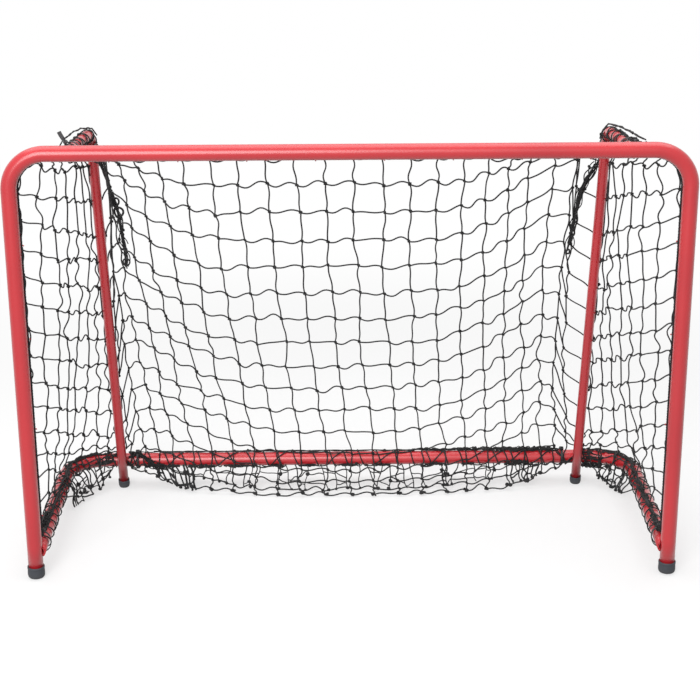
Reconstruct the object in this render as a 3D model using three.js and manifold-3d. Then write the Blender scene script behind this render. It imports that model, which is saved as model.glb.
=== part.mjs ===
// A small steel goal for street and floor hockey, in millimetres, +Z up.
// The mouth faces -Y. Left and right are as the shooter sees them: left is -X.
//
// A bent front frame carries a bent base frame and two rear legs on short spigots.
// Rubber feet close the four tube ends that reach the floor. The net hangs on a border
// rope behind the front frame, is laced to the base frame and is tied to the arms.

import * as THREE from 'three';
import { mergeVertices } from 'three/addons/utils/BufferGeometryUtils.js';
import Module from 'manifold-3d';

const wasm = await Module();
wasm.setup();

// ---------------------------------------------------------------- driving dimensions

const clearance = 0.3;            // gap between pieces that touch on the real goal

const overallWidth = 1200;        // over the outsides of the two posts
const mouthHeight = 815;          // floor to the top of the crossbar
const frameTube = 28;             // outside diameter of the front frame
const frameWall = 1.5;
const frontBendRadius = 65;       // to the tube's axis

const baseTube = 28;
const baseWall = 1.5;
const baseReach = 426;            // post axis to rear bar axis
const baseHeight = 52;            // floor to the base tube's axis
const baseBendRadius = 80;
const baseInset = 6;              // side tubes lie this far inside the post axes

const legTube = 19;
const legWall = 1.2;
const legInset = 110;             // side tube's axis to the leg's axis
const legBarGap = 6;              // leg to rear bar, filled by the spacer
const legTopReach = 205;          // post axis to the corner of arm and leg
const armInset = 98;              // side tube's axis to the arm's, where it meets the crossbar
const armDrop = 8;                // the arm falls this much from crossbar to corner
const legBendRadius = 50;

const spigotWall = 1.5;
const baseSpigotLength = 60;      // from the post's surface
const armSpigotLength = 42;       // from the crossbar's surface

const screwDiameter = 4.2;
const screwHeadDiameter = 8;
const screwHeadHeight = 2.4;
const screwLength = 10;           // under the head
const baseScrewSetback = 24;      // post axis to screw axis
const armScrewSetback = 34;       // crossbar axis to screw axis

const boltDiameter = 6;
const boltHeadDiameter = 10;
const boltHeadHeight = 4;
const boltGripPastNut = 2;        // thread that stands out of the nut
const nutAcrossFlats = 10;
const nutHeight = 5;
const spacerDiameter = 15;

const footFloor = 4;              // rubber under the tube's end
const footWall = 1.7;             // rubber round the tube
const frontFootHeight = 23;
const rearFootHeight = 20;
const footRounding = 6;           // of the foot's lower edge

const ropeDiameter = 4;
const ropeAngle = 60;             // from straight back, turned towards the mouth's middle
const ropeEndHeight = 82;
const hookThickness = 2;
const hookWidth = 8;
const crossbarHooks = 8;
const crossbarHookInset = 69;     // arm axis to the nearest hook
const postHooks = 4;
const postHookLowest = 120;
const postHookHighGap = 100;      // highest hook to the start of the corner bend

const netStrand = 3;              // thickness of the modelled net's strands
const netRows = 9;
const backColumns = 16;
const sideColumns = 5;
const netSideStart = 22;          // the side net starts this far behind the post axis
const legNetOffset = 10;          // the back net starts this far inside the leg axis
const netPull = 110;              // how quickly the net falls away from the two legs
const hemDrop = 58;               // loose net below the rear bar, measured along the net
const hemFloorGap = 1.2;          // the lowest strand's height over the floor

const laceDiameter = 2.5;
const laceSteps = 8;              // per turn
const sideLaceTurns = 2;          // one for each mesh, on the straight part of the side tube

const tieWidth = 7.6;
const tieThickness = 1.4;
const tieHeadSize = 9;
const tieTailLong = 30;           // the tail left uncut on the left arm
const tieTailShort = 5;
const armTieSetback = 39;         // crossbar axis to the tie
const baseTieSetback = 36;        // post axis to the tie
const rearTieInset = 30;          // leg axis to the tie on the rear bar

const outerSides = 20;            // facets round a big tube
const boreSides = 12;
const legSides = 14;
const frontArcSteps = 6;
const legArcSteps = 5;

// ---------------------------------------------------------------- sizes that follow

const frameRadius = frameTube / 2;
const baseRadius = baseTube / 2;
const legRadius = legTube / 2;
const postX = overallWidth / 2 - frameRadius;
const crossbarZ = mouthHeight - frameRadius;
const baseX = postX - baseInset;
const legX = baseX - legInset;
const armX = baseX - armInset;
const legTopZ = crossbarZ - armDrop;
const legAtBarY = baseReach - baseRadius - legRadius - legBarGap;
const legLean = (legAtBarY - legTopReach) / (legTopZ - baseHeight);
const legFootReach = legAtBarY + legLean * baseHeight;
const netReach = netStrand / 2 + clearance;
const tubeEndZ = footFloor + clearance;

const vec = (x, y, z) => new THREE.Vector3(x, y, z);
const radians = THREE.MathUtils.degToRad;

// ---------------------------------------------------------------- materials

const finishes = {
  redPowderCoat: { color: 0xc8323a, roughness: 0.42, metalness: 0.0 },
  zincPlated: { color: 0xb9bcc0, roughness: 0.35, metalness: 1.0 },
  blackRubber: { color: 0x242527, roughness: 0.85, metalness: 0.0 },
  blackNylon: { color: 0x1b1c1e, roughness: 0.6, metalness: 0.0 },
  blackTwine: { color: 0x151617, roughness: 0.9, metalness: 0.0 },
};

const goal = new THREE.Group();

function addPiece(name, geometry, finish) {
  const piece = new THREE.Mesh(geometry, new THREE.MeshStandardMaterial(finishes[finish]));
  piece.name = name;
  goal.add(piece);
  return piece;
}

// ---------------------------------------------------------------- closed meshes and cuts

// Positions only, shared vertices merged, collapsed triangles dropped, faces outwards.
function closed(geometry) {
  const plain = new THREE.BufferGeometry();
  plain.setAttribute('position', geometry.getAttribute('position').clone());
  plain.setIndex(geometry.getIndex());
  const merged = mergeVertices(plain, 1e-4);
  const corners = merged.getIndex().array;
  const at = (i) => new THREE.Vector3().fromBufferAttribute(merged.getAttribute('position'), i);
  const kept = [];
  let volume = 0;
  for (let i = 0; i < corners.length; i += 3) {
    const [a, b, c] = corners.slice(i, i + 3);
    if (a !== b && b !== c && c !== a) {
      kept.push(a, b, c);
      volume += at(a).dot(at(b).cross(at(c))) / 6;
    }
  }
  merged.setIndex(volume > 0 ? kept : kept.reverse());
  return merged;
}

function toSolid(geometry) {
  const mesh = closed(geometry);
  return new wasm.Manifold(new wasm.Mesh({
    numProp: 3,
    vertProperties: new Float32Array(mesh.getAttribute('position').array),
    triVerts: new Uint32Array(mesh.getIndex().array),
  }));
}

function toGeometry(solid) {
  const mesh = solid.getMesh();
  const geometry = new THREE.BufferGeometry();
  geometry.setAttribute('position', new THREE.BufferAttribute(mesh.vertProperties, 3));
  geometry.setIndex(Array.from(mesh.triVerts));
  return geometry;
}

function cut(geometry, ...tools) {
  let solid = toSolid(geometry);
  for (const tool of tools) {
    solid = solid.subtract(toSolid(tool));
  }
  return toGeometry(solid);
}

function join(geometry, ...others) {
  let solid = toSolid(geometry);
  for (const other of others) {
    solid = solid.add(toSolid(other));
  }
  return toGeometry(solid);
}

// ---------------------------------------------------------------- routes of bent tubes

// Straight runs between corner points, with a round bend of one radius at each corner.
class Route {
  constructor(corners, bendRadius) {
    this.runs = [];
    let from = corners[0].clone();
    for (let i = 1; i < corners.length; i += 1) {
      const before = corners[i].clone().sub(corners[i - 1]).normalize();
      if (i === corners.length - 1) {
        this.addLine(from, corners[i]);
        break;
      }
      const after = corners[i + 1].clone().sub(corners[i]).normalize();
      const angle = before.angleTo(after);
      const trim = bendRadius * Math.tan(angle / 2);
      const start = corners[i].clone().addScaledVector(before, -trim);
      this.addLine(from, start);
      const axis = before.clone().cross(after).normalize();
      const inward = axis.clone().cross(before);
      this.runs.push({
        bend: true, start, before, axis, angle,
        centre: start.clone().addScaledVector(inward, bendRadius),
        length: bendRadius * angle,
      });
      from = corners[i].clone().addScaledVector(after, trim);
    }
    this.length = this.runs.reduce((sum, run) => sum + run.length, 0);
  }

  addLine(start, end) {
    const span = end.clone().sub(start);
    this.runs.push({ bend: false, start, before: span.clone().normalize(), length: span.length() });
  }

  // The point and the direction at a distance from the start.
  at(distance) {
    let left = distance;
    let k = 0;
    while (k < this.runs.length - 1 && left > this.runs[k].length) {
      left -= this.runs[k].length;
      k += 1;
    }
    const run = this.runs[k];
    left = Math.min(left, run.length);
    if (!run.bend) {
      return { point: run.start.clone().addScaledVector(run.before, left), along: run.before.clone() };
    }
    const turn = (run.angle * left) / run.length;
    const spoke = run.start.clone().sub(run.centre).applyAxisAngle(run.axis, turn);
    return { point: spoke.add(run.centre), along: run.before.clone().applyAxisAngle(run.axis, turn) };
  }

  // Distances where a swept section is placed: both ends, and evenly round each bend.
  stations(arcSteps) {
    const places = [0];
    let passed = 0;
    for (const run of this.runs) {
      for (let k = run.bend ? 1 : arcSteps; k <= arcSteps; k += 1) {
        places.push(passed + (run.length * k) / arcSteps);
      }
      passed += run.length;
    }
    return places;
  }
}

// A curve that a section is swept along, with one step for each placed section.
class SweptCurve extends THREE.Curve {
  constructor(places) {
    super();
    this.places = places;
  }

  placeAt(u) {
    return this.places[Math.round(u * (this.places.length - 1))];
  }

  getPointAt(u) {
    return this.placeAt(u).point.clone();
  }

  getTangentAt(u) {
    return this.placeAt(u).along.clone();
  }
}

function circle(radius, sides) {
  const points = [];
  for (let k = 0; k < sides; k += 1) {
    const angle = (2 * Math.PI * k) / sides;
    points.push(new THREE.Vector2(radius * Math.cos(angle), radius * Math.sin(angle)));
  }
  return points;
}

function ringShape(outerRadius, innerRadius, sides, holeSides) {
  const shape = new THREE.Shape(circle(outerRadius, sides));
  if (innerRadius > 0) {
    shape.holes.push(new THREE.Path(circle(innerRadius, holeSides).reverse()));
  }
  return shape;
}

function sweep(shape, places) {
  return new THREE.ExtrudeGeometry(shape, {
    steps: places.length - 1,
    extrudePath: new SweptCurve(places),
  });
}

function sweepRoute(shape, route, arcSteps) {
  return sweep(shape, route.stations(arcSteps).map((distance) => route.at(distance)));
}

// A round bar between two points, used for holes, copes and bars.
function bar(from, to, radius, sides, innerRadius = 0) {
  const along = to.clone().sub(from).normalize();
  return sweep(ringShape(radius, innerRadius, sides, sides), [
    { point: from, along },
    { point: to, along },
  ]);
}

// A turned piece: profile points are [radius, height], its axis goes from base along up.
function turned(profile, sides, base, up) {
  const points = profile.map(([radius, height]) => new THREE.Vector2(radius, height));
  const geometry = new THREE.LatheGeometry(points, sides);
  const turn = new THREE.Quaternion().setFromUnitVectors(vec(0, 1, 0), up.clone().normalize());
  geometry.applyQuaternion(turn);
  geometry.translate(base.x, base.y, base.z);
  return geometry;
}

// ---------------------------------------------------------------- the four routes

const frontRoute = new Route([
  vec(-postX, 0, tubeEndZ), vec(-postX, 0, crossbarZ),
  vec(postX, 0, crossbarZ), vec(postX, 0, tubeEndZ),
], frontBendRadius);

const baseRoute = new Route([
  vec(-baseX, 0, baseHeight), vec(-baseX, baseReach, baseHeight),
  vec(baseX, baseReach, baseHeight), vec(baseX, 0, baseHeight),
], baseBendRadius);

// From the crossbar, back along the arm, round the corner and down to the foot.
function legCorners(side) {
  const corner = vec(side * legX, legTopReach, legTopZ);
  const footCentre = vec(side * legX, legFootReach, 0);
  const along = footCentre.clone().sub(corner).normalize();
  const end = footCentre.addScaledVector(along, tubeEndZ / along.z);
  return [vec(side * armX, 0, crossbarZ), corner, end];
}

const legRoutes = {
  left: new Route(legCorners(-1), legBendRadius),
  right: new Route(legCorners(1), legBendRadius),
};
const sides = [['left', -1], ['right', 1]];

// Solid tools that leave the clearance round the front frame's post or crossbar.
const postTool = (side) => bar(
  vec(side * postX, 0, 0), vec(side * postX, 0, mouthHeight / 2),
  frameRadius + clearance, outerSides,
);
const crossbarTool = bar(
  vec(-postX, 0, crossbarZ), vec(postX, 0, crossbarZ), frameRadius + clearance, outerSides,
);

// ---------------------------------------------------------------- fasteners

const screwHoleRadius = screwDiameter / 2 + clearance;
const boltHoleRadius = boltDiameter / 2 + clearance;
const fastenerSides = 10;

// The axis of the screw that enters a tube from underneath.
function screwSeat(side, which) {
  if (which === 'base') {
    return { axis: vec(side * baseX, baseScrewSetback, baseHeight), radius: baseRadius };
  }
  const route = side < 0 ? legRoutes.left : legRoutes.right;
  return { axis: route.at(armScrewSetback).point, radius: legRadius };
}

function screwHole(side, which) {
  const { axis, radius } = screwSeat(side, which);
  return bar(axis, axis.clone().setZ(axis.z - radius - frameTube), screwHoleRadius, fastenerSides);
}

function screw(side, which) {
  const { axis, radius } = screwSeat(side, which);
  const headZ = axis.z - radius - clearance - screwHeadHeight;
  const headRadius = screwHeadDiameter / 2;
  const shank = screwDiameter / 2;
  return turned([
    [0, 0], [headRadius * 0.6, 0], [headRadius, screwHeadHeight * 0.6],
    [headRadius, screwHeadHeight], [shank, screwHeadHeight],
    [shank, screwHeadHeight + screwLength], [0, screwHeadHeight + screwLength],
  ], fastenerSides, vec(axis.x, axis.y, headZ), vec(0, 0, 1));
}

const boltFromY = baseReach + baseRadius + clearance;

function boltHole(side) {
  const x = side * legX;
  return bar(
    vec(x, legAtBarY, baseHeight), vec(x, boltFromY + baseRadius, baseHeight),
    boltHoleRadius, fastenerSides,
  );
}

// The nut lies inside the leg, against its rear wall.
const legBore = legRadius - legWall;
const nutHalfWidth = nutAcrossFlats / 2;
const nutCornerRadius = nutHalfWidth / Math.cos(Math.PI / 6);
const nutRearY = legAtBarY - clearance - nutHalfWidth * legLean
  + Math.sqrt(Math.max(legBore ** 2 - nutCornerRadius ** 2, 1)) * 0.9;
const nutFrontY = nutRearY - nutHeight;

function legBolt(side) {
  const length = boltFromY - nutFrontY + boltGripPastNut;
  const head = boltHeadDiameter / 2;
  const shank = boltDiameter / 2;
  return turned([
    [0, -boltHeadHeight], [head * 0.7, -boltHeadHeight], [head, -boltHeadHeight * 0.4], [head, 0],
    [shank, 0], [shank, length], [0, length],
  ], fastenerSides, vec(side * legX, boltFromY, baseHeight), vec(0, -1, 0));
}

function legNut(side) {
  const x = side * legX;
  const along = vec(0, -1, 0);
  return sweep(ringShape(nutCornerRadius, boltHoleRadius, 6, fastenerSides), [
    { point: vec(x, nutRearY, baseHeight), along },
    { point: vec(x, nutFrontY, baseHeight), along },
  ]);
}

function legTool(side) {
  const route = side < 0 ? legRoutes.left : legRoutes.right;
  const end = route.at(route.length);
  return bar(
    end.point, end.point.clone().addScaledVector(end.along, -legTopZ / 2),
    legRadius + clearance, legSides,
  );
}

// A moulded spacer between the leg and the rear bar, coped to both.
function legSpacer(side) {
  const x = side * legX;
  const sleeve = bar(
    vec(x, legAtBarY, baseHeight), vec(x, baseReach, baseHeight),
    spacerDiameter / 2, boreSides, boltHoleRadius,
  );
  const barTool = bar(
    vec(x - spacerDiameter, baseReach, baseHeight), vec(x + spacerDiameter, baseReach, baseHeight),
    baseRadius + clearance, outerSides,
  );
  return cut(sleeve, barTool, legTool(side));
}

// ---------------------------------------------------------------- frames

addPiece('front_frame', closed(sweepRoute(
  ringShape(frameRadius, frameRadius - frameWall, outerSides, boreSides), frontRoute, frontArcSteps,
)), 'redPowderCoat');

addPiece('base_frame', cut(
  sweepRoute(
    ringShape(baseRadius, baseRadius - baseWall, outerSides, boreSides), baseRoute, frontArcSteps,
  ),
  postTool(-1), postTool(1),
  screwHole(-1, 'base'), screwHole(1, 'base'), boltHole(-1), boltHole(1),
), 'redPowderCoat');

for (const [name, side] of sides) {
  addPiece(`${name}_rear_leg`, cut(
    sweepRoute(ringShape(legRadius, legBore, legSides, boreSides), legRoutes[name], legArcSteps),
    crossbarTool, screwHole(side, 'arm'), boltHole(side),
  ), 'redPowderCoat');
}

// ---------------------------------------------------------------- spigots, screws and bolts

// A stub of tube welded behind the front frame, inside the tube that is pushed over it.
function spigot(route, reach, boreRadius, frameTool, hole) {
  const outer = boreRadius - clearance;
  const places = [route.at(0), route.at(reach)];
  return cut(sweep(ringShape(outer, outer - spigotWall, boreSides, boreSides), places), frameTool, hole);
}

for (const [name, side] of sides) {
  const fromPost = new Route([
    vec(side * baseX, 0, baseHeight), vec(side * baseX, baseReach / 2, baseHeight),
  ], 0);
  addPiece(`${name}_base_spigot`, spigot(
    fromPost, frameRadius + baseSpigotLength, baseRadius - baseWall,
    postTool(side), screwHole(side, 'base'),
  ), 'redPowderCoat');
  addPiece(`${name}_arm_spigot`, spigot(
    legRoutes[name], frameRadius + armSpigotLength, legBore,
    crossbarTool, screwHole(side, 'arm'),
  ), 'redPowderCoat');
  addPiece(`${name}_base_screw`, closed(screw(side, 'base')), 'zincPlated');
  addPiece(`${name}_arm_screw`, closed(screw(side, 'arm')), 'zincPlated');
  addPiece(`${name}_leg_spacer`, legSpacer(side), 'blackNylon');
  addPiece(`${name}_leg_bolt`, closed(legBolt(side)), 'zincPlated');
  addPiece(`${name}_leg_nut`, closed(legNut(side)), 'zincPlated');
}

// ---------------------------------------------------------------- rubber feet

// A cup round the tube's end. Heights in the profile are from the tube's end.
function footCup(tubeRadius, height, floorDepth, sidesRound, end, up) {
  const bore = tubeRadius + clearance;
  const outer = bore + footWall;
  const floorZ = -floorDepth;
  const profile = [[0, floorZ]];
  const roundSteps = 3;
  for (let k = 0; k <= roundSteps; k += 1) {
    const angle = (Math.PI / 2) * (k / roundSteps);
    profile.push([
      outer - footRounding + footRounding * Math.sin(angle),
      floorZ + footRounding - footRounding * Math.cos(angle),
    ]);
  }
  profile.push([outer, floorZ + height], [bore, floorZ + height], [bore, -clearance], [0, -clearance]);
  return turned(profile, sidesRound, end, up);
}

const belowFloor = new THREE.BoxGeometry(overallWidth, baseReach, footFloor * 8);
belowFloor.translate(0, legFootReach, -footFloor * 4);

for (const [name, side] of sides) {
  const postEnd = vec(side * postX, 0, tubeEndZ);
  addPiece(`${name}_front_foot`, closed(
    footCup(frameRadius, frontFootHeight, tubeEndZ, outerSides, postEnd, vec(0, 0, 1)),
  ), 'blackRubber');
  // The leg leans, so its cup is deeper and is cut level with the floor.
  const route = legRoutes[name];
  const { point, along } = route.at(route.length);
  const floorDepth = tubeEndZ + (legRadius + clearance + footWall) * legLean;
  addPiece(`${name}_rear_foot`, cut(
    footCup(legRadius, rearFootHeight, floorDepth, boreSides + 4, point, along.negate()),
    belowFloor,
  ), 'blackRubber');
}

// ---------------------------------------------------------------- border rope and its hooks

const ropeRadius = ropeDiameter / 2;
const ropeSeat = frameRadius + clearance + ropeRadius;      // tube axis to rope axis
const ropeIn = ropeSeat * Math.sin(radians(ropeAngle));     // towards the mouth's middle
const ropeBack = ropeSeat * Math.cos(radians(ropeAngle));   // behind the tube's axis

const ropeRoute = new Route([
  vec(-postX + ropeIn, ropeBack, ropeEndHeight), vec(-postX + ropeIn, ropeBack, crossbarZ - ropeIn),
  vec(postX - ropeIn, ropeBack, crossbarZ - ropeIn), vec(postX - ropeIn, ropeBack, ropeEndHeight),
], frontBendRadius - ropeIn);

addPiece('border_rope', closed(sweepRoute(
  ringShape(ropeRadius, 0, 8), ropeRoute, frontArcSteps,
)), 'blackTwine');

// The hook's outline is an open ring round the rope: x points inwards, y points back.
function hookGeometry() {
  const inner = ropeRadius + clearance;
  const outer = inner + hookThickness;
  const towardsTube = radians(180 + 90 - ropeAngle);
  const start = towardsTube - radians(57);
  const sweepAngle = radians(203);
  const steps = 7;
  const arc = (radius, k) => {
    const angle = start - (sweepAngle * k) / steps;
    return new THREE.Vector2(ropeIn + radius * Math.cos(angle), ropeBack + radius * Math.sin(angle));
  };
  const outline = [];
  for (let k = 0; k <= steps; k += 1) {
    outline.push(arc(outer, k));
  }
  for (let k = steps; k >= 0; k -= 1) {
    outline.push(arc(inner, k));
  }
  const geometry = new THREE.ExtrudeGeometry(new THREE.Shape(outline), {
    depth: hookWidth, bevelEnabled: false,
  });
  geometry.translate(0, 0, -hookWidth / 2);
  return closed(geometry);
}

function addHook(name, centre, inward) {
  const back = vec(0, 1, 0);
  const hook = addPiece(name, hookGeometry(), 'redPowderCoat');
  const turn = new THREE.Matrix4().makeBasis(inward, back, inward.clone().cross(back));
  hook.quaternion.setFromRotationMatrix(turn);
  hook.position.copy(centre);
}

const crossbarHookSpacing = (2 * (armX - crossbarHookInset)) / (crossbarHooks - 1);
const postHookHighest = crossbarZ - frontBendRadius - postHookHighGap;
const postHookSpacing = (postHookHighest - postHookLowest) / (postHooks - 1);

for (let k = 0; k < crossbarHooks; k += 1) {
  const x = (k - (crossbarHooks - 1) / 2) * crossbarHookSpacing;
  addHook(`crossbar_hook_${k + 1}`, vec(x, 0, crossbarZ), vec(0, 0, -1));
}
for (const [name, side] of sides) {
  for (let k = 0; k < postHooks; k += 1) {
    const height = postHookLowest + k * postHookSpacing;
    addHook(`${name}_post_hook_${k + 1}`, vec(side * postX, 0, height), vec(-side, 0, 0));
  }
}

// ---------------------------------------------------------------- the net's edges

const hookReach = ropeRadius + 2 * clearance + hookThickness;   // rope axis to the net's edge
const borderShift = hookReach + 2 * clearance;

// The net's edge beside the rope, at a distance along the rope from the middle of the
// crossbar towards one side. The net leaves the rope at the given angle from straight back.
function ropeEdge(side, distance, leaveAngle) {
  const { point } = ropeRoute.at(ropeRoute.length / 2 + side * distance);
  const cornerX = postX - frontBendRadius;
  const cornerZ = crossbarZ - frontBendRadius;
  const spoke = vec(
    Math.max(Math.abs(point.x) - cornerX, 0) * Math.sign(point.x), 0, Math.max(point.z - cornerZ, 0),
  ).normalize();
  return point
    .addScaledVector(spoke, -borderShift * Math.sin(radians(leaveAngle)))
    .add(vec(0, borderShift * Math.cos(radians(leaveAngle)), 0));
}

// The net's edge beside an arm or leg: turn 0 is straight out from the goal's middle,
// 90 is on top of the arm and behind the leg, 180 is straight in.
function legEdge(side, distance, turn) {
  const { point, along } = (side < 0 ? legRoutes.left : legRoutes.right).at(distance);
  const out = vec(side, 0, 0);
  const over = vec(1, 0, 0).cross(along).normalize();
  const reach = legRadius + netReach + clearance;
  return point
    .addScaledVector(out, reach * Math.cos(radians(turn)))
    .addScaledVector(over, reach * Math.sin(radians(turn)));
}

const overBar = baseHeight + baseRadius + netReach + clearance;
const legArm = (name) => legRoutes[name].runs[0].length + legRoutes[name].runs[1].length / 2;
const armStart = frameRadius + 8;      // the net's corner lies just behind the crossbar

// ---------------------------------------------------------------- net sheets

// One closed sheet with a square hole in each cell of a grid of corner points.
function netSheet(grid) {
  const columns = grid.length - 1;
  const rows = grid[0].length - 1;
  const positions = [];
  const triangles = [];
  const half = netStrand / 2;

  const normals = grid.map((line, i) => line.map((point, j) => {
    const across = grid[Math.min(i + 1, columns)][j].clone().sub(grid[Math.max(i - 1, 0)][j]);
    const down = line[Math.min(j + 1, rows)].clone().sub(line[Math.max(j - 1, 0)]);
    return across.cross(down).normalize();
  }));
  const addPair = (point, normal) => {
    const front = point.clone().addScaledVector(normal, half);
    const rear = point.clone().addScaledVector(normal, -half);
    positions.push(front.x, front.y, front.z, rear.x, rear.y, rear.z);
    return positions.length / 3 - 2;
  };
  const addQuad = (a, b, c, d) => {
    triangles.push(a, b, c, a, c, d);
  };
  const knots = grid.map((line, i) => line.map((point, j) => addPair(point, normals[i][j])));

  const blend = (list, s, t) => list[0].clone().multiplyScalar((1 - s) * (1 - t))
    .addScaledVector(list[1], s * (1 - t))
    .addScaledVector(list[2], s * t)
    .addScaledVector(list[3], (1 - s) * t);

  for (let i = 0; i < columns; i += 1) {
    for (let j = 0; j < rows; j += 1) {
      const at = [[i, j], [i + 1, j], [i + 1, j + 1], [i, j + 1]];
      const corners = at.map(([a, b]) => grid[a][b]);
      const cornerNormals = at.map(([a, b]) => normals[a][b]);
      const wide = (corners[0].distanceTo(corners[1]) + corners[3].distanceTo(corners[2])) / 2;
      const tall = (corners[0].distanceTo(corners[3]) + corners[1].distanceTo(corners[2])) / 2;
      const s = Math.min(half / wide, 0.3);
      const t = Math.min(half / tall, 0.3);
      const outer = at.map(([a, b]) => knots[a][b]);
      const inner = [[s, t], [1 - s, t], [1 - s, 1 - t], [s, 1 - t]].map(([a, b]) => addPair(
        blend(corners, a, b), blend(cornerNormals, a, b).normalize(),
      ));
      for (let k = 0; k < 4; k += 1) {
        const n = (k + 1) % 4;
        addQuad(outer[k], outer[n], inner[n], inner[k]);
        addQuad(outer[n] + 1, outer[k] + 1, inner[k] + 1, inner[n] + 1);
        addQuad(inner[k], inner[n], inner[n] + 1, inner[k] + 1);
      }
    }
  }
  const border = [];
  for (let i = 0; i < columns; i += 1) border.push(knots[i][0]);
  for (let j = 0; j < rows; j += 1) border.push(knots[columns][j]);
  for (let i = columns; i > 0; i -= 1) border.push(knots[i][rows]);
  for (let j = rows; j > 0; j -= 1) border.push(knots[0][j]);
  border.forEach((a, k) => {
    const b = border[(k + 1) % border.length];
    addQuad(b, a, a + 1, b + 1);
  });

  const geometry = new THREE.BufferGeometry();
  geometry.setAttribute('position', new THREE.Float32BufferAttribute(positions, 3));
  geometry.setIndex(triangles);
  return closed(geometry);
}

function gridOf(columns, rows, pointAt) {
  const grid = [];
  for (let i = 0; i <= columns; i += 1) {
    const line = [];
    for (let j = 0; j <= rows; j += 1) {
      line.push(pointAt(i / columns, j / rows));
    }
    grid.push(line);
  }
  return grid;
}

// ---------------------------------------------------------------- back net

// Between the legs the net runs straight from the crossbar to the rear bar. Towards each
// leg it is lifted back and up to the arm, like a tent to its pole.
const backHalf = legX - legNetOffset;
const backTurn = 180;
const leaveDown = 61;              // the back net leaves the rope this steeply

function backEdge(side, v) {
  const route = side < 0 ? legRoutes.left : legRoutes.right;
  if (v === 0) {
    return ropeEdge(side, armX - legRadius - netReach - 4 * clearance, leaveDown);
  }
  const foot = vec(side * backHalf, baseReach, overBar);
  const whole = route.length - baseHeight;
  const straightFrom = route.runs[0].length + route.runs[1].length;
  const distance = armStart + v * (whole - armStart);
  if (distance <= straightFrom) {
    return legEdge(side, distance, backTurn);
  }
  const top = legEdge(side, straightFrom, backTurn);
  return top.lerp(foot, (distance - straightFrom) / (whole - straightFrom));
}

function backPoint(u, v) {
  const across = 2 * u - 1;
  const side = across < 0 ? -1 : 1;
  const edge = backEdge(side, v);
  const x = Math.abs(across) * edge.x;
  const top = ropeEdge(1, 1, leaveDown);
  const straight = top.lerp(vec(0, baseReach, overBar), v);
  const fromEdge = Math.abs(edge.x) - Math.abs(x);
  const pull = Math.exp(-fromEdge / netPull);
  return vec(
    x,
    THREE.MathUtils.lerp(straight.y, edge.y, pull),
    THREE.MathUtils.lerp(straight.z, edge.z, pull),
  );
}

addPiece('net_back', netSheet(gridOf(backColumns, netRows, backPoint)), 'blackTwine');

// ---------------------------------------------------------------- side nets

// The four edges: the post's rope and the frame's corner in front, the arm on top, the leg
// behind and the base tube below. The net between them is their blended surface.
const sideTurn = 20;
const leaveBack = 17;
const baseRun = baseRoute.length / 2 - legX - legRadius - netReach - 2 * clearance;

function sidePoint(name, side, u, v) {
  const armDistance = legArm(name);
  const overArm = (s) => legEdge(side, armStart + s * (armDistance - armStart), sideTurn);
  const onBase = (s) => {
    const distance = netSideStart + s * (baseRun - netSideStart);
    const { point } = baseRoute.at(side < 0 ? distance : baseRoute.length - distance);
    return point.setZ(overBar);
  };
  const ropeFrom = armX + legRadius + netReach;
  const ropeTo = ropeRoute.length / 2 - netSideStart;
  const front = (t) => {
    if (t === 0) return overArm(0);
    return t === 1 ? onBase(0) : ropeEdge(side, ropeFrom + t * (ropeTo - ropeFrom), leaveBack);
  };
  const rear = (t) => overArm(1).lerp(onBase(1), t);
  const corners = [overArm(0), overArm(1), onBase(1), onBase(0)];
  const patch = front(v).multiplyScalar(1 - u).addScaledVector(rear(v), u)
    .addScaledVector(overArm(u), 1 - v).addScaledVector(onBase(u), v);
  return patch
    .addScaledVector(corners[0], -(1 - u) * (1 - v))
    .addScaledVector(corners[1], -u * (1 - v))
    .addScaledVector(corners[2], -u * v)
    .addScaledVector(corners[3], -(1 - u) * v);
}

for (const [name, side] of sides) {
  addPiece(`${name}_side_net`, netSheet(
    gridOf(sideColumns, netRows, (u, v) => sidePoint(name, side, u, v)),
  ), 'blackTwine');
}

// ---------------------------------------------------------------- loose hem under the rear bar

// The net's spare length hangs from the rear bar and turns forward over the floor.
const hemTurn = 225;               // round the bar from straight back, over the top
const hemSeat = baseRadius + netReach + clearance;
const hemY = baseReach + hemSeat * Math.cos(radians(hemTurn));
const hemTopZ = baseHeight + hemSeat * Math.sin(radians(hemTurn));
const hemLowZ = hemFloorGap + netStrand / 2;

function hemPoint(u, v) {
  const x = (2 * u - 1) * backHalf;
  const fall = hemTopZ - hemLowZ;
  const bow = Math.sin((Math.PI / 2) * v);
  return vec(x, hemY - hemDrop * v ** 1.5, hemTopZ - fall * bow);
}

addPiece('net_hem', netSheet(gridOf(backColumns, 1, hemPoint)), 'blackTwine');

// ---------------------------------------------------------------- lacing on the base tube

const laceRadius = laceDiameter / 2;
const laceSeat = baseRadius + 2 * netReach + 3 * clearance + laceRadius;

// A cord wound round the base tube. Angle 0 is the outer side, 90 is the top.
function lacing(from, to, turns, startAngle) {
  const steps = turns * laceSteps;
  const wound = (k) => {
    const { point, along } = baseRoute.at(from + ((to - from) * k) / steps);
    const out = vec(0, 0, 1).cross(along).normalize();
    const angle = radians(startAngle) + (2 * Math.PI * k) / laceSteps;
    return point
      .addScaledVector(out, laceSeat * Math.cos(angle))
      .add(vec(0, 0, laceSeat * Math.sin(angle)));
  };
  const places = [];
  for (let k = 0; k <= steps; k += 1) {
    places.push({ point: wound(k), along: wound(k + 0.5).sub(wound(k - 0.5)).normalize() });
  }
  const leastGap = Math.abs(to - from) / turns - laceDiameter;
  console.log(`lacing of ${turns} turns: least gap between turns ${leastGap.toFixed(1)} mm`);
  return closed(sweep(ringShape(laceRadius, 0, 5), places));
}

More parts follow.
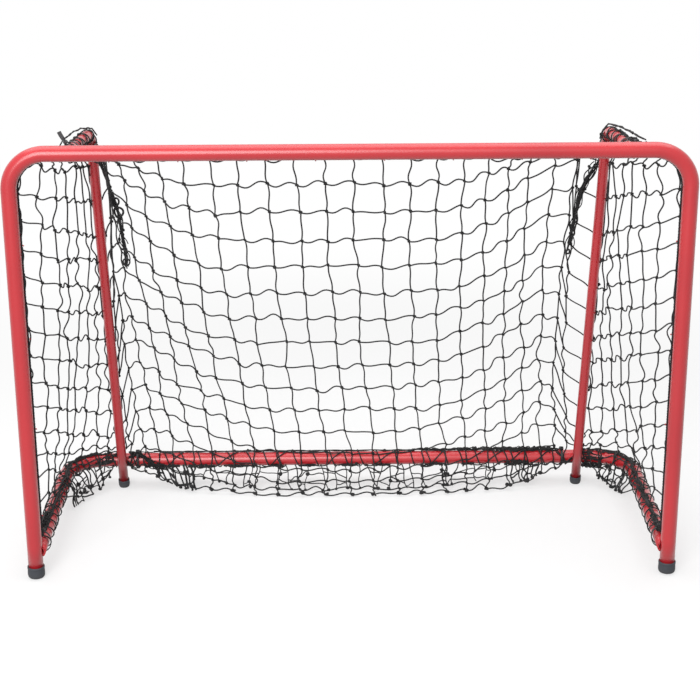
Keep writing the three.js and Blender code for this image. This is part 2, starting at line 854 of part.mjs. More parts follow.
const sideColumnRun = (baseRun - netSideStart) / sideColumns;
const backColumnWidth = (2 * backHalf) / backColumns;
const barMiddle = baseRoute.length / 2;
const backLaceTurns = backColumns / 2 - 1;
const backLaceHalf = backLaceTurns * backColumnWidth;

addPiece('back_lacing', lacing(
  barMiddle - backLaceHalf, barMiddle + backLaceHalf, backLaceTurns, 0,
), 'blackTwine');
const sideLaceFrom = netSideStart + sideColumnRun;
const sideLaceTo = sideLaceFrom + sideLaceTurns * sideColumnRun;
addPiece('left_lacing', lacing(sideLaceFrom, sideLaceTo, sideLaceTurns, -90), 'blackTwine');
addPiece('right_lacing', lacing(
  baseRoute.length - sideLaceFrom, baseRoute.length - sideLaceTo, sideLaceTurns, -90,
), 'blackTwine');

// ---------------------------------------------------------------- cable ties

// A band round a tube and the net on it, with its head and the tail that comes out of it.
function cableTie(innerRadius, tailLength) {
  const outer = innerRadius + tieThickness;
  const band = new THREE.ExtrudeGeometry(ringShape(outer, innerRadius, boreSides, boreSides), {
    depth: tieWidth, bevelEnabled: false,
  });
  band.translate(0, 0, -tieWidth / 2);
  const headHeight = tieHeadSize * 0.6;
  const head = new THREE.BoxGeometry(tieHeadSize, headHeight, tieHeadSize);
  head.translate(0, outer - tieThickness / 2 + headHeight / 2, 0);
  const tail = new THREE.BoxGeometry(tieThickness, tailLength, tieWidth);
  tail.translate(tieThickness, outer + headHeight + tailLength / 2 - tieThickness, 0);
  return join(band, head, tail);
}

// Turn 0 puts the head on top; the head turns outwards with a growing angle.
function addTie(name, place, side, innerRadius, headTurn, tailLength) {
  const { point, along } = place;
  const out = vec(0, 0, 1).cross(along).normalize();
  out.multiplyScalar(Math.sign(out.x * side) || 1);
  const up = along.clone().cross(out).normalize();
  up.multiplyScalar(Math.sign(up.z));
  const headWay = up.clone().multiplyScalar(Math.cos(radians(headTurn)))
    .addScaledVector(out, Math.sin(radians(headTurn)));
  const sideWay = headWay.clone().cross(along).normalize();
  const tie = addPiece(name, cableTie(innerRadius, tailLength), 'blackNylon');
  tie.quaternion.setFromRotationMatrix(new THREE.Matrix4().makeBasis(sideWay, headWay, along));
  tie.position.copy(point);
}

const facetSlack = 1 / Math.cos(Math.PI / boreSides);
const armTieInner = (legRadius + 2 * netReach + 3 * clearance) * facetSlack;
const baseTieInner = (baseRadius + 2 * netReach + clearance) * facetSlack;

for (const [name, side] of sides) {
  const tailLength = name === 'left' ? tieTailLong : tieTailShort;
  addTie(`${name}_arm_tie`, legRoutes[name].at(armTieSetback), side, armTieInner, 38, tailLength);
  const fromEnd = (distance) => baseRoute.at(side < 0 ? distance : baseRoute.length - distance);
  addTie(`${name}_front_tie`, fromEnd(baseTieSetback), side, baseTieInner, -90, tieTailShort);
  const rearTie = fromEnd(barMiddle - legX + rearTieInset);
  addTie(`${name}_rear_tie`, rearTie, side, baseTieInner, 0, tieTailShort);
}

// ---------------------------------------------------------------- origin

// The origin is on the floor, in the middle of the goal from left to right and from
// front to back.
goal.updateMatrixWorld(true);
const extent = new THREE.Box3().setFromObject(goal, true);
goal.position.y = -(extent.min.y + extent.max.y) / 2;

export default goal;
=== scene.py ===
# %% [markdown]
# # A small steel goal with a knotted net
#
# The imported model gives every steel, rubber and nylon piece its true place and size.
# This script leaves those pieces where they are and makes the goal look like the real one:
# smooth powder coated tubes, moulded rubber feet, twisted cord, and a net of over six
# hundred meshes that hangs, sags and bunches up as a used net does.
# All lengths are in metres, +Z is up, and the mouth of the goal faces -Y.

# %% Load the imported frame
import math

import bmesh
import bpy
import numpy as np
from mathutils import Matrix, Vector


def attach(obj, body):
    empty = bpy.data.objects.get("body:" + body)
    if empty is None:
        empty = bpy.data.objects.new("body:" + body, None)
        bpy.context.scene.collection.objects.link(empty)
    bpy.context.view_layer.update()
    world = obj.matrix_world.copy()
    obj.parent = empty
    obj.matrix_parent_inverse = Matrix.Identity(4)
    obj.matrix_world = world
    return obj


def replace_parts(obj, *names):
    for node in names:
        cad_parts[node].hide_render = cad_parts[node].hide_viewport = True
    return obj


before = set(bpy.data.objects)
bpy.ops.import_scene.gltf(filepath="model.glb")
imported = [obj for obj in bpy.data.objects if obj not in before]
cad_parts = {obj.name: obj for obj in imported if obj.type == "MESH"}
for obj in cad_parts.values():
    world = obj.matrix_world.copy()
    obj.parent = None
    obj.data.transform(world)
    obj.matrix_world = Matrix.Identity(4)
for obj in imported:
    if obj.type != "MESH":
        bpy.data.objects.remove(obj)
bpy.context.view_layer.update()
print("nodes", len(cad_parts))

# %% [markdown]
# ## The camera comes first
#
# The photograph was taken with a standard lens from about three metres in front, at the
# eye level of someone standing. Setting the camera before any modelling means that each
# piece can be checked against the picture as soon as it exists. The camera is placed by its
# own three directions, right, up and forward, which is easier to reason about than three
# angles.

# %% Place the camera
FRONT_Y = -0.2155          # the plane of the front frame's axis
CAMERA_PLACE = Vector((-0.0237, -2.858 + FRONT_Y, 1.4603))
CAMERA_PITCH = math.radians(19.60)     # looking down
CAMERA_YAW = math.radians(0.440)       # turned to the right
CAMERA_ROLL = math.radians(-0.274)
SENSOR_WIDTH = 36.0
LENS = 87.92


def camera_axes(pitch, yaw, roll):
    """The camera's right, up and backward directions in the world."""
    forward = Vector((math.sin(yaw) * math.cos(pitch), math.cos(yaw) * math.cos(pitch),
                      -math.sin(pitch)))
    level = forward.cross(Vector((0, 0, 1))).normalized()
    upright = level.cross(forward)
    right = level * math.cos(roll) + upright * math.sin(roll)
    up = upright * math.cos(roll) - level * math.sin(roll)
    return right, up, -forward


camera = bpy.data.objects.new("camera", bpy.data.cameras.new("camera"))
camera.data.sensor_width = SENSOR_WIDTH
camera.data.lens = LENS
bpy.context.scene.collection.objects.link(camera)
turn = Matrix(camera_axes(CAMERA_PITCH, CAMERA_YAW, CAMERA_ROLL)).transposed()
camera.matrix_world = Matrix.Translation(CAMERA_PLACE) @ turn.to_4x4()
bpy.context.scene.camera = camera
print("camera at", tuple(round(c, 3) for c in CAMERA_PLACE), "lens", LENS)

# %% [markdown]
# ## Floor and light
#
# The goal is shown on white. A large pale floor catches a soft shadow, which is what makes
# the feet look as if they stand on something. Away from the goal the floor fades to plain
# white for the camera, so that no horizon shows. For light that bounces it is a dark grey,
# because a white floor would wash out the undersides of the tubes. A white world lights the
# goal from all sides, and two big soft lamps give the tubes the long highlights that make
# them read as round: one stands behind the camera and a long one hangs above the crossbar.
# Keeping the light level plain means that a colour comes out about as it is written.

# %% Floor
FLOOR_HALF = 30.0
FLOOR_DROP = 0.0004        # just under the feet, so that no faces coincide
FLOOR_WHITE = 0.95

floor_mesh = bpy.data.meshes.new("floor")
floor_mesh.from_pydata(
    [(x * FLOOR_HALF, y * FLOOR_HALF, -FLOOR_DROP) for x, y in ((-1, -1), (1, -1), (1, 1), (-1, 1))],
    [], [(0, 1, 2, 3)])
floor = bpy.data.objects.new("floor", floor_mesh)
bpy.context.scene.collection.objects.link(floor)

# %% [markdown]
# A small helper keeps every later material short. It adds a node, sets its plain values
# and joins it to what feeds it, so that a material reads from top to bottom like a recipe.


# %% A helper for shader nodes
def add_node(tree, kind, values=None, links=None, **settings):
    """Adds a node. values and links are by input name or number; settings are its options."""
    node = tree.nodes.new(kind)
    for key, value in settings.items():
        setattr(node, key, value)
    for key, value in (values or {}).items():
        node.inputs[key].default_value = value
    for key, source in (links or {}).items():
        tree.links.new(source, node.inputs[key])
    return node


def new_material(name):
    """An empty material with its output node, and the tree that it is built in."""
    material = bpy.data.materials.new(name)
    material.use_nodes = True
    tree = material.node_tree
    tree.nodes.clear()
    return material, tree, tree.nodes.new("ShaderNodeOutputMaterial")


# %% Floor material and world
def grey(level):
    """A colour without hue, from 0 for black to 1 for white."""
    return (level, level, level, 1.0)


def rays_to_camera(tree):
    """1 for rays that show a surface to the camera: straight, mirrored or through glass."""
    rays = tree.nodes.new("ShaderNodeLightPath")
    glossy = add_node(tree, "ShaderNodeMath", links={
        0: rays.outputs["Is Camera Ray"], 1: rays.outputs["Is Glossy Ray"]}, operation="MAXIMUM")
    seen = add_node(tree, "ShaderNodeMath", links={
        0: glossy.outputs[0], 1: rays.outputs["Is Transmission Ray"]}, operation="MAXIMUM")
    return seen.outputs[0]


FLOOR_FOR_BOUNCE = 0.14    # what the floor sends back up to the undersides of the tubes
FADE_FROM, FADE_TO = 0.9, 2.0          # metres from the goal's middle
LIFT = 0.55                # how far the near floor is lifted towards white

floor_material, tree, out = new_material("pale_floor")
seen = rays_to_camera(tree)
mottle = add_node(tree, "ShaderNodeTexNoise", {"Scale": 3.0, "Detail": 4.0})
pale = add_node(tree, "ShaderNodeMapRange", {"To Min": FLOOR_WHITE - 0.01, "To Max": FLOOR_WHITE},
                {"Value": mottle.outputs["Fac"]})
tone = add_node(tree, "ShaderNodeMix", {2: FLOOR_FOR_BOUNCE}, {
    0: seen, 3: pale.outputs["Result"]}, data_type="FLOAT")
colour = add_node(tree, "ShaderNodeCombineColor", links={
    label: tone.outputs[0] for label in ("Red", "Green", "Blue")})
matt = add_node(tree, "ShaderNodeBsdfPrincipled",
                {"Roughness": 0.95, "Specular IOR Level": 0.1}, {"Base Color": colour.outputs["Color"]})
white = add_node(tree, "ShaderNodeEmission", {"Color": grey(1.0), "Strength": 1.0})
place = tree.nodes.new("ShaderNodeTexCoord")
far = add_node(tree, "ShaderNodeVectorMath", links={0: place.outputs["Object"]}, operation="LENGTH")
fade = add_node(tree, "ShaderNodeMapRange",
                {"From Min": FADE_FROM, "From Max": FADE_TO, "To Min": LIFT, "To Max": 1.0},
                {"Value": far.outputs["Value"]}, interpolation_type="SMOOTHSTEP")
share = add_node(tree, "ShaderNodeMath", links={0: fade.outputs["Result"], 1: seen},
                 operation="MULTIPLY")
mixed = add_node(tree, "ShaderNodeMixShader", links={
    0: share.outputs[0], 1: matt.outputs["BSDF"], 2: white.outputs["Emission"]})
tree.links.new(mixed.outputs[0], out.inputs["Surface"])
floor.data.materials.append(floor_material)

WORLD_LEVEL = 0.46
world = bpy.data.worlds.new("studio")
bpy.context.scene.world = world
world.use_nodes = True
tree = world.node_tree
tree.nodes.clear()
out = tree.nodes.new("ShaderNodeOutputWorld")
lighting = add_node(tree, "ShaderNodeBackground", {"Color": grey(1.0), "Strength": WORLD_LEVEL})
backdrop = add_node(tree, "ShaderNodeBackground", {"Color": grey(1.0), "Strength": 1.0})
choice = add_node(tree, "ShaderNodeMixShader", links={
    0: rays_to_camera(tree), 1: lighting.outputs[0], 2: backdrop.outputs[0]})
tree.links.new(choice.outputs[0], out.inputs["Surface"])


# %% Soft lamps
def soft_lamp(name, place, aim, width, depth, power):
    """An area lamp of width by depth metres at place that faces aim."""
    lamp = bpy.data.objects.new(name, bpy.data.lights.new(name, "AREA"))
    lamp.data.shape = "RECTANGLE"
    lamp.data.size, lamp.data.size_y = width, depth
    lamp.data.energy = power
    lamp.location = place
    lamp.rotation_euler = (Vector(aim) - Vector(place)).to_track_quat("-Z", "Y").to_euler()
    bpy.context.scene.collection.objects.link(lamp)
    return lamp


GOAL_MIDDLE, CROSSBAR_MIDDLE = (0.0, 0.0, 0.4), (0.0, FRONT_Y, 0.8)
KEY_PLACE, KEY_SIZE, KEY_WATTS = (-1.0, -3.2, 1.8), 2.2, 106
TOP_PLACE, TOP_WIDTH, TOP_DEPTH, TOP_WATTS = (0.0, 0.1, 2.3), 3.4, 1.6, 32
soft_lamp("key_lamp", KEY_PLACE, GOAL_MIDDLE, KEY_SIZE, KEY_SIZE, KEY_WATTS)
soft_lamp("top_lamp", TOP_PLACE, CROSSBAR_MIDDLE, TOP_WIDTH, TOP_DEPTH, TOP_WATTS)
bpy.context.scene.view_settings.view_transform = "Standard"

# %% [markdown]
# ## Finishes
#
# Three effects come back in several finishes, so each is made once as a node group with its
# own inputs: fine unevenness of a moulded or sprayed skin, rubbed and scuffed places, and
# the slanting strands of a twisted cord. A group only gives out masks and heights. The
# shader that uses them stays in the material, where its plain values can be read.


# %% Helper for node groups
def new_group(name, inputs, outputs):
    """A shader node group with float inputs {name: default} and float outputs [names]."""
    group = bpy.data.node_groups.new(name, "ShaderNodeTree")
    for label, value in inputs.items():
        socket = group.interface.new_socket(name=label, in_out="INPUT", socket_type="NodeSocketFloat")
        socket.default_value = value
    for label in outputs:
        group.interface.new_socket(name=label, in_out="OUTPUT", socket_type="NodeSocketFloat")
    return group, group.nodes.new("NodeGroupInput"), group.nodes.new("NodeGroupOutput")


def place_group(tree, group, values):
    """Puts a node group into a material with its own values."""
    node = tree.nodes.new("ShaderNodeGroup")
    node.node_tree = group
    for key, value in values.items():
        node.inputs[key].default_value = value
    return node


# %% Skin: the fine unevenness of sprayed powder or moulded rubber
skin_group, given, result = new_group(
    "skin", {"Grain per metre": 900.0, "Drift per metre": 7.0}, ["Height", "Drift"])
place = skin_group.nodes.new("ShaderNodeTexCoord")
grain = add_node(skin_group, "ShaderNodeTexNoise", {"Detail": 2.0, "Roughness": 0.45},
                 {"Vector": place.outputs["Object"], "Scale": given.outputs["Grain per metre"]})
drift = add_node(skin_group, "ShaderNodeTexNoise", {"Detail": 3.0, "Roughness": 0.55},
                 {"Vector": place.outputs["Object"], "Scale": given.outputs["Drift per metre"]})
skin_group.links.new(grain.outputs["Fac"], result.inputs["Height"])
skin_group.links.new(drift.outputs["Fac"], result.inputs["Drift"])

# %% Scuffs: short scratches and rubbed patches
scuff_group, given, result = new_group(
    "scuffs", {"Marks per metre": 60.0, "Amount": 0.3}, ["Scratch", "Rubbed"])
place = scuff_group.nodes.new("ShaderNodeTexCoord")
stretched = add_node(scuff_group, "ShaderNodeMapping",
                     {"Rotation": (0.5, 0.3, 0.9), "Scale": (1.0, 9.0, 1.0)},
                     {"Vector": place.outputs["Object"]})
marks = add_node(scuff_group, "ShaderNodeTexNoise", {"Detail": 5.0, "Roughness": 0.7},
                 {"Vector": stretched.outputs["Vector"], "Scale": given.outputs["Marks per metre"]})
rub = add_node(scuff_group, "ShaderNodeTexNoise", {"Scale": 16.0, "Detail": 6.0, "Roughness": 0.62},
               {"Vector": place.outputs["Object"]})
level = add_node(scuff_group, "ShaderNodeMapRange",
                 {"From Min": 0.0, "From Max": 1.0, "To Min": 0.80, "To Max": 0.56},
                 {"Value": given.outputs["Amount"]})
for source, output in ((marks, "Scratch"), (rub, "Rubbed")):
    above = add_node(scuff_group, "ShaderNodeMath", links={
        0: source.outputs["Fac"], 1: level.outputs["Result"]}, operation="SUBTRACT")
    mask = add_node(scuff_group, "ShaderNodeMapRange", {"From Min": 0.0, "From Max": 0.05},
                    {"Value": above.outputs[0]})
    scuff_group.links.new(mask.outputs["Result"], result.inputs[output])

# %% Lay: slanting strands of a twisted cord, from the cord's own length and turn
LAY_ALONG, LAY_ROUND = "along", "round"
lay_group, given, result = new_group(
    "lay", {"Strands": 3.0, "Turns per metre": 160.0}, ["Height", "Fuzz"])
along = add_node(lay_group, "ShaderNodeAttribute", attribute_name=LAY_ALONG)
around = add_node(lay_group, "ShaderNodeAttribute", attribute_name=LAY_ROUND)
twist = add_node(lay_group, "ShaderNodeMath", links={
    0: along.outputs["Fac"], 1: given.outputs["Turns per metre"]}, operation="MULTIPLY")
phase = add_node(lay_group, "ShaderNodeMath", links={
    0: twist.outputs[0], 1: around.outputs["Fac"]}, operation="ADD")
strands = add_node(lay_group, "ShaderNodeMath", links={
    0: phase.outputs[0], 1: given.outputs["Strands"]}, operation="MULTIPLY")
wave = add_node(lay_group, "ShaderNodeMath", {1: math.pi}, {0: strands.outputs[0]},
                operation="MULTIPLY")
sine = add_node(lay_group, "ShaderNodeMath", links={0: wave.outputs[0]}, operation="SINE")
ridge = add_node(lay_group, "ShaderNodeMath", links={0: sine.outputs[0]}, operation="ABSOLUTE")
lay_group.links.new(ridge.outputs[0], result.inputs["Height"])
place = lay_group.nodes.new("ShaderNodeTexCoord")
fuzz = add_node(lay_group, "ShaderNodeTexNoise", {"Scale": 2600.0, "Detail": 3.0},
                {"Vector": place.outputs["Object"]})
lay_group.links.new(fuzz.outputs["Fac"], result.inputs["Fuzz"])
print("node groups", [g.name for g in bpy.data.node_groups])

# %% [markdown]
# ### Red powder coat
#
# The tubes are sprayed with dry powder that is then baked, which leaves a tough, slightly
# glossy skin with a faint orange peel. The red drifts a little in depth, and it is rubbed
# duller where sticks and pucks hit it. A clear coat layer lays a soft highlight over the
# broader sheen, as seen along the crossbar.


# %% Red powder coat
MIX_A, MIX_B, MIX_OUT = 6, 7, 2        # the colour sockets of Blender's Mix node


def srgb(red, green, blue):
    """A linear colour from the 0 to 255 numbers that a colour picker shows."""
    def linear(value):
        share = value / 255
        return share / 12.92 if share <= 0.04045 else ((share + 0.055) / 1.055) ** 2.4
    return (linear(red), linear(green), linear(blue), 1.0)


def mix_colours(tree, mask, first, second):
    """Goes from first to second as mask goes from 0 to 1. Each is a colour or a socket."""
    node = add_node(tree, "ShaderNodeMix", links={0: mask}, data_type="RGBA")
    for index, colour in ((MIX_A, first), (MIX_B, second)):
        if isinstance(colour, tuple):
            node.inputs[index].default_value = colour
        else:
            tree.links.new(colour, node.inputs[index])
    return node.outputs[MIX_OUT]


def rescale(tree, value, low, high, from_low=0.0, from_high=1.0):
    """Moves a mask into the range from low to high."""
    return add_node(tree, "ShaderNodeMapRange", {
        "From Min": from_low, "From Max": from_high, "To Min": low, "To Max": high,
    }, {"Value": value}).outputs["Result"]


def bump(tree, height, distance, strength, under=None):
    """A Bump node: distance is the real height of the relief in metres."""
    links = {"Height": height}
    if under is not None:
        links["Normal"] = under
    return add_node(tree, "ShaderNodeBump", {"Distance": distance, "Strength": strength},
                    links).outputs["Normal"]


RED_DEEP = srgb(190, 34, 44)
RED_FRESH = srgb(206, 42, 50)
RED_WORN = srgb(172, 60, 64)
RED_SCRATCHED = srgb(120, 36, 40)
RED_GRAIN = 650.0          # grains of the orange peel in a metre

red_coat, tree, out = new_material("red_powder_coat")
skin = place_group(tree, skin_group, {"Grain per metre": RED_GRAIN, "Drift per metre": 5.0})
scuffs = place_group(tree, scuff_group, {"Marks per metre": 34.0, "Amount": 0.30})
tone = mix_colours(tree, rescale(tree, skin.outputs["Drift"], 0, 1, 0.3, 0.7), RED_DEEP, RED_FRESH)
worn = rescale(tree, scuffs.outputs["Rubbed"], 0.0, 0.55)
colour = mix_colours(tree, worn, tone, RED_WORN)
colour = mix_colours(tree, rescale(tree, scuffs.outputs["Scratch"], 0.0, 0.35), colour,
                     RED_SCRATCHED)
normal = bump(tree, skin.outputs["Height"], 0.00004, 0.4)
normal = bump(tree, rescale(tree, scuffs.outputs["Scratch"], 1.0, 0.0), 0.00006, 0.4, normal)
paint = add_node(tree, "ShaderNodeBsdfPrincipled", {
    "Metallic": 0.0, "Coat Roughness": 0.26, "Specular IOR Level": 0.4,
}, {
    "Base Color": colour,
    "Roughness": rescale(tree, worn, 0.34, 0.62),
    "Coat Weight": rescale(tree, worn, 0.75, 0.2),
    "Normal": normal,
})
tree.links.new(paint.outputs["BSDF"], out.inputs["Surface"])
print("red powder coat: grain of", round(1000 / RED_GRAIN, 1), "mm")

# %% [markdown]
# ### Black rubber
#
# The feet are moulded rubber: matt, dark grey rather than black, and dusty where they
# meet the ground. The dust is a mask from the height above the floor, mixed with noise so
# that its edge is uneven.

# %% Black rubber
RUBBER = srgb(58, 60, 65)
RUBBER_LIGHT = srgb(76, 79, 85)
DUST = srgb(120, 116, 110)
DUST_HEIGHT = 0.012

rubber, tree, out = new_material("black_rubber")
skin = place_group(tree, skin_group, {"Grain per metre": 1800.0, "Drift per metre": 60.0})
scuffs = place_group(tree, scuff_group, {"Marks per metre": 90.0, "Amount": 0.55})
place = tree.nodes.new("ShaderNodeTexCoord")
split = add_node(tree, "ShaderNodeSeparateXYZ", links={"Vector": place.outputs["Object"]})
low = rescale(tree, split.outputs["Z"], 0.4, 0.0, 0.0, DUST_HEIGHT)
dusty = add_node(tree, "ShaderNodeMath", links={0: low, 1: skin.outputs["Drift"]},
                 operation="MULTIPLY").outputs[0]
colour = mix_colours(tree, skin.outputs["Drift"], RUBBER, RUBBER_LIGHT)
colour = mix_colours(tree, rescale(tree, scuffs.outputs["Rubbed"], 0.0, 0.4), colour, DUST)
colour = mix_colours(tree, dusty, colour, DUST)
matt = add_node(tree, "ShaderNodeBsdfPrincipled", {"Specular IOR Level": 0.35}, {
    "Base Color": colour,
    "Roughness": rescale(tree, dusty, 0.62, 0.95),
    "Normal": bump(tree, skin.outputs["Height"], 0.0001, 0.5),
})
tree.links.new(matt.outputs["BSDF"], out.inputs["Surface"])

# %% [markdown]
# ### Black twine, nylon and plated steel
#
# The net and the ropes are twisted from black plastic fibres. Each cord mesh carries two
# attributes, how far along the cord a point is and how far round it, so the lay of the
# twine follows every bend. The grooves between the strands are coloured darker as painted
# shade. The cable ties are smooth nylon, and the screws are zinc plated with a faint yellow
# and blue cast.

# %% Black twine
TWINE = srgb(26, 26, 28)
TWINE_WORN = srgb(62, 61, 62)
# painted shade: the colour that the grooves between two strands are darkened to
TWINE_GROOVE_SHADE = srgb(12, 12, 13)        # between two strands


def twine_material(name, turns, relief):
    """Twisted fibre. turns is the lay's turns in a metre, relief its depth in metres."""
    material, tree, out = new_material(name)
    lay = place_group(tree, lay_group, {"Strands": 3.0, "Turns per metre": turns})
    skin = place_group(tree, skin_group, {"Grain per metre": 3000.0, "Drift per metre": 24.0})
    colour = mix_colours(tree, rescale(tree, skin.outputs["Drift"], 0.0, 1.0, 0.42, 0.72),
                         TWINE, TWINE_WORN)
    # painted shade: where the lay is low, between two strands, the colour goes darker
    colour = mix_colours(tree, rescale(tree, lay.outputs["Height"], 0.5, 0.0), colour,
                         TWINE_GROOVE_SHADE)
    normal = bump(tree, lay.outputs["Height"], relief, 0.9)
    normal = bump(tree, lay.outputs["Fuzz"], relief * 0.3, 0.6, normal)
    fibre = add_node(tree, "ShaderNodeBsdfPrincipled", {
        "Specular IOR Level": 0.3, "Sheen Weight": 0.08, "Sheen Roughness": 0.5,
    }, {
        "Base Color": colour,
        "Roughness": rescale(tree, skin.outputs["Drift"], 0.62, 0.9),
        "Normal": normal,
    })
    tree.links.new(fibre.outputs["BSDF"], out.inputs["Surface"])
    return material


net_twine = twine_material("net_twine", 150.0, 0.0004)
rope_twine = twine_material("rope_twine", 85.0, 0.0007)

# %% Black nylon
NYLON = srgb(24, 25, 27)
NYLON_LIGHT = srgb(40, 41, 44)
NYLON_SCRATCHED = srgb(84, 84, 88)

nylon, tree, out = new_material("black_nylon")
skin = place_group(tree, skin_group, {"Grain per metre": 1200.0, "Drift per metre": 40.0})
scuffs = place_group(tree, scuff_group, {"Marks per metre": 140.0, "Amount": 0.4})
colour = mix_colours(tree, skin.outputs["Drift"], NYLON, NYLON_LIGHT)
colour = mix_colours(tree, rescale(tree, scuffs.outputs["Scratch"], 0.0, 0.5), colour,
                     NYLON_SCRATCHED)
moulded = add_node(tree, "ShaderNodeBsdfPrincipled", {}, {
    "Base Color": colour,
    "Roughness": rescale(tree, skin.outputs["Drift"], 0.34, 0.55),
    "Normal": bump(tree, skin.outputs["Height"], 0.00005, 0.4),
})
tree.links.new(moulded.outputs["BSDF"], out.inputs["Surface"])

# %% Zinc plated steel
ZINC_BLUE = srgb(186, 190, 198)
ZINC_YELLOW = srgb(204, 200, 184)
ZINC_DULL = srgb(150, 146, 138)

zinc, tree, out = new_material("zinc_plated")
skin = place_group(tree, skin_group, {"Grain per metre": 2200.0, "Drift per metre": 120.0})
scuffs = place_group(tree, scuff_group, {"Marks per metre": 200.0, "Amount": 0.5})
colour = mix_colours(tree, skin.outputs["Drift"], ZINC_BLUE, ZINC_YELLOW)
colour = mix_colours(tree, rescale(tree, scuffs.outputs["Rubbed"], 0.0, 0.6), colour, ZINC_DULL)
plated = add_node(tree, "ShaderNodeBsdfPrincipled", {"Metallic": 1.0}, {
    "Base Color": colour,
    "Roughness": rescale(tree, skin.outputs["Drift"], 0.26, 0.5),
    "Normal": bump(tree, skin.outputs["Height"], 0.00004, 0.4),
})
tree.links.new(plated.outputs["BSDF"], out.inputs["Surface"])
print("materials", [m.name for m in bpy.data.materials])

# %% [markdown]
# ## Swept tubes
#
# The frame is bent from round tube, so every tube is a ring of points swept along a route.
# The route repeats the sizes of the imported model: straight runs between corners, and a
# round bend at each corner. A ring that is carried along with the smallest possible turn
# doesn't twist, so the same helper also makes the ropes and every cord of the net.


# %% Small helpers for points in rows
UP = np.array((0.0, 0.0, 1.0))
DOWN = np.array((0.0, 0.0, -1.0))


def unit(way):
    """A direction made one metre long."""
    return way / np.linalg.norm(way)


def unit_rows(ways):
    """A table with a direction in each row, each made one metre long."""
    return ways / np.linalg.norm(ways, axis=1, keepdims=True)


def distances(line):
    """How far along a line each of its points lies."""
    return np.concatenate([[0], np.cumsum(np.linalg.norm(np.diff(line, axis=0), axis=1))])


def line_length(line):
    """The length of a line, all its short spans added up."""
    return float(np.linalg.norm(np.diff(line, axis=0), axis=1).sum())


def between_rows(wanted, marks, rows):
    """Reads a table of points at wanted places, where marks are the places of its rows."""
    return np.stack([np.interp(wanted, marks, rows[:, k]) for k in range(3)], 1)


# %% Routes and sweeps
def bent_route(corners, radius, arc_steps, run_steps=1):
    """Points along straight runs with a round bend at each inner corner."""
    corners = [np.array(c, float) for c in corners]
    points, start = [], corners[0]
    for before, corner, after in zip(corners, corners[1:], corners[2:]):
        come, go = unit(corner - before), unit(after - corner)
        angle = math.acos(float(come @ go))
        trim = radius * math.tan(angle / 2)
        enter = corner - come * trim
        points += [start + (enter - start) * k / run_steps for k in range(run_steps)]
        inward = unit(go - come * float(come @ go))
        centre = enter + inward * radius
        for k in range(arc_steps + 1):
            turned = angle * k / arc_steps
            points.append(centre - inward * radius * math.cos(turned)
                          + come * radius * math.sin(turned))
        start = points.pop()
    points += [start + (corners[-1] - start) * k / run_steps for k in range(run_steps + 1)]
    return np.array(points)


def carried_frames(line):
    """For each point of a line: its direction and two directions across, without twist."""
    along = np.gradient(line, axis=0)
    along /= np.maximum(np.linalg.norm(along, axis=1, keepdims=True), 1e-12)
    first = np.cross(along[0], UP)
    if np.linalg.norm(first) < 0.2:    # the line starts nearly upright
        first = np.cross(along[0], (1.0, 0.0, 0.0))
    across = [unit(first)]
    for direction in along[1:]:
        across.append(unit(across[-1] - direction * float(direction @ across[-1])))
    across = np.array(across)
    return along, across, np.cross(along, across)


# %% Rings of points and the faces between them
def rings_round(line, radius, across, over, sides):
    """A ring of points round each point of a line, ring after ring."""
    angles = 2 * np.pi * np.arange(sides) / sides
    rings = line[:, None] + radius * (across[:, None] * np.cos(angles)[None, :, None]
                                      + over[:, None] * np.sin(angles)[None, :, None])
    return rings.reshape(-1, 3)


def ring_faces(count, sides, closed=False):
    """The faces between count rings. closed joins the last ring to the first."""
    faces = []
    for k in range(count if closed else count - 1):
        for j in range(sides):
            m, n = (k + 1) % count, (j + 1) % sides
            faces.append((k * sides + j, k * sides + n, m * sides + n, m * sides + j))
    return faces


def end_faces(count, sides):
    """One face over the first ring and one over the last."""
    return [tuple(reversed(range(sides))), tuple((count - 1) * sides + j for j in range(sides))]


def lay_marks(travelled, sides):
    """(along, round) values for rings of points that lie travelled metres along a cord."""
    return np.stack([np.repeat(travelled, sides),
                     np.tile(np.arange(sides) / sides, len(travelled))], 1)


def ring_sweep(line, radius, sides):
    """Vertices, faces and (along, round) values of rings swept along a line, ends closed."""
    line = np.asarray(line, float)
    _, across, over = carried_frames(line)
    faces = ring_faces(len(line), sides) + end_faces(len(line), sides)
    return (rings_round(line, radius, across, over, sides), faces,
            lay_marks(distances(line), sides))


# %% Finished pieces
def make_piece(name, vertices, faces, material, slot, smooth=True, marks=None):
    """A finished mesh object that rides on the goal, in the given material. slot is not used."""
    mesh = bpy.data.meshes.new(name)
    mesh.from_pydata([tuple(v) for v in vertices], [], faces)
    mesh.polygons.foreach_set("use_smooth", [smooth] * len(mesh.polygons))
    if marks is not None:
        for column, label in enumerate((LAY_ALONG, LAY_ROUND)):
            attribute = mesh.attributes.new(label, "FLOAT", "POINT")
            attribute.data.foreach_set("value", np.ascontiguousarray(marks[:, column], np.float32))
    mesh.update()
    piece = bpy.data.objects.new(name, mesh)
    bpy.context.scene.collection.objects.link(piece)
    mesh.materials.append(material)
    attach(piece, "root")
    return piece


def join_parts(parts):
    """Puts several (vertices, faces, marks) together as one set."""
    vertices, faces, marks, offset = [], [], [], 0
    for part_vertices, part_faces, part_marks in parts:
        vertices.append(part_vertices)
        faces += [tuple(offset + i for i in face) for face in part_faces]
        marks.append(part_marks)
        offset += len(part_vertices)
    return np.concatenate(vertices), faces, np.concatenate(marks)


def make_cords(name, parts, twine):
    """One piece made of many cords and knots. twine is their material."""
    vertices, faces, marks = join_parts(parts)
    piece = make_piece(name, vertices, faces, twine, "black_twine", marks=marks)
    print(name, len(faces), "faces")
    return piece


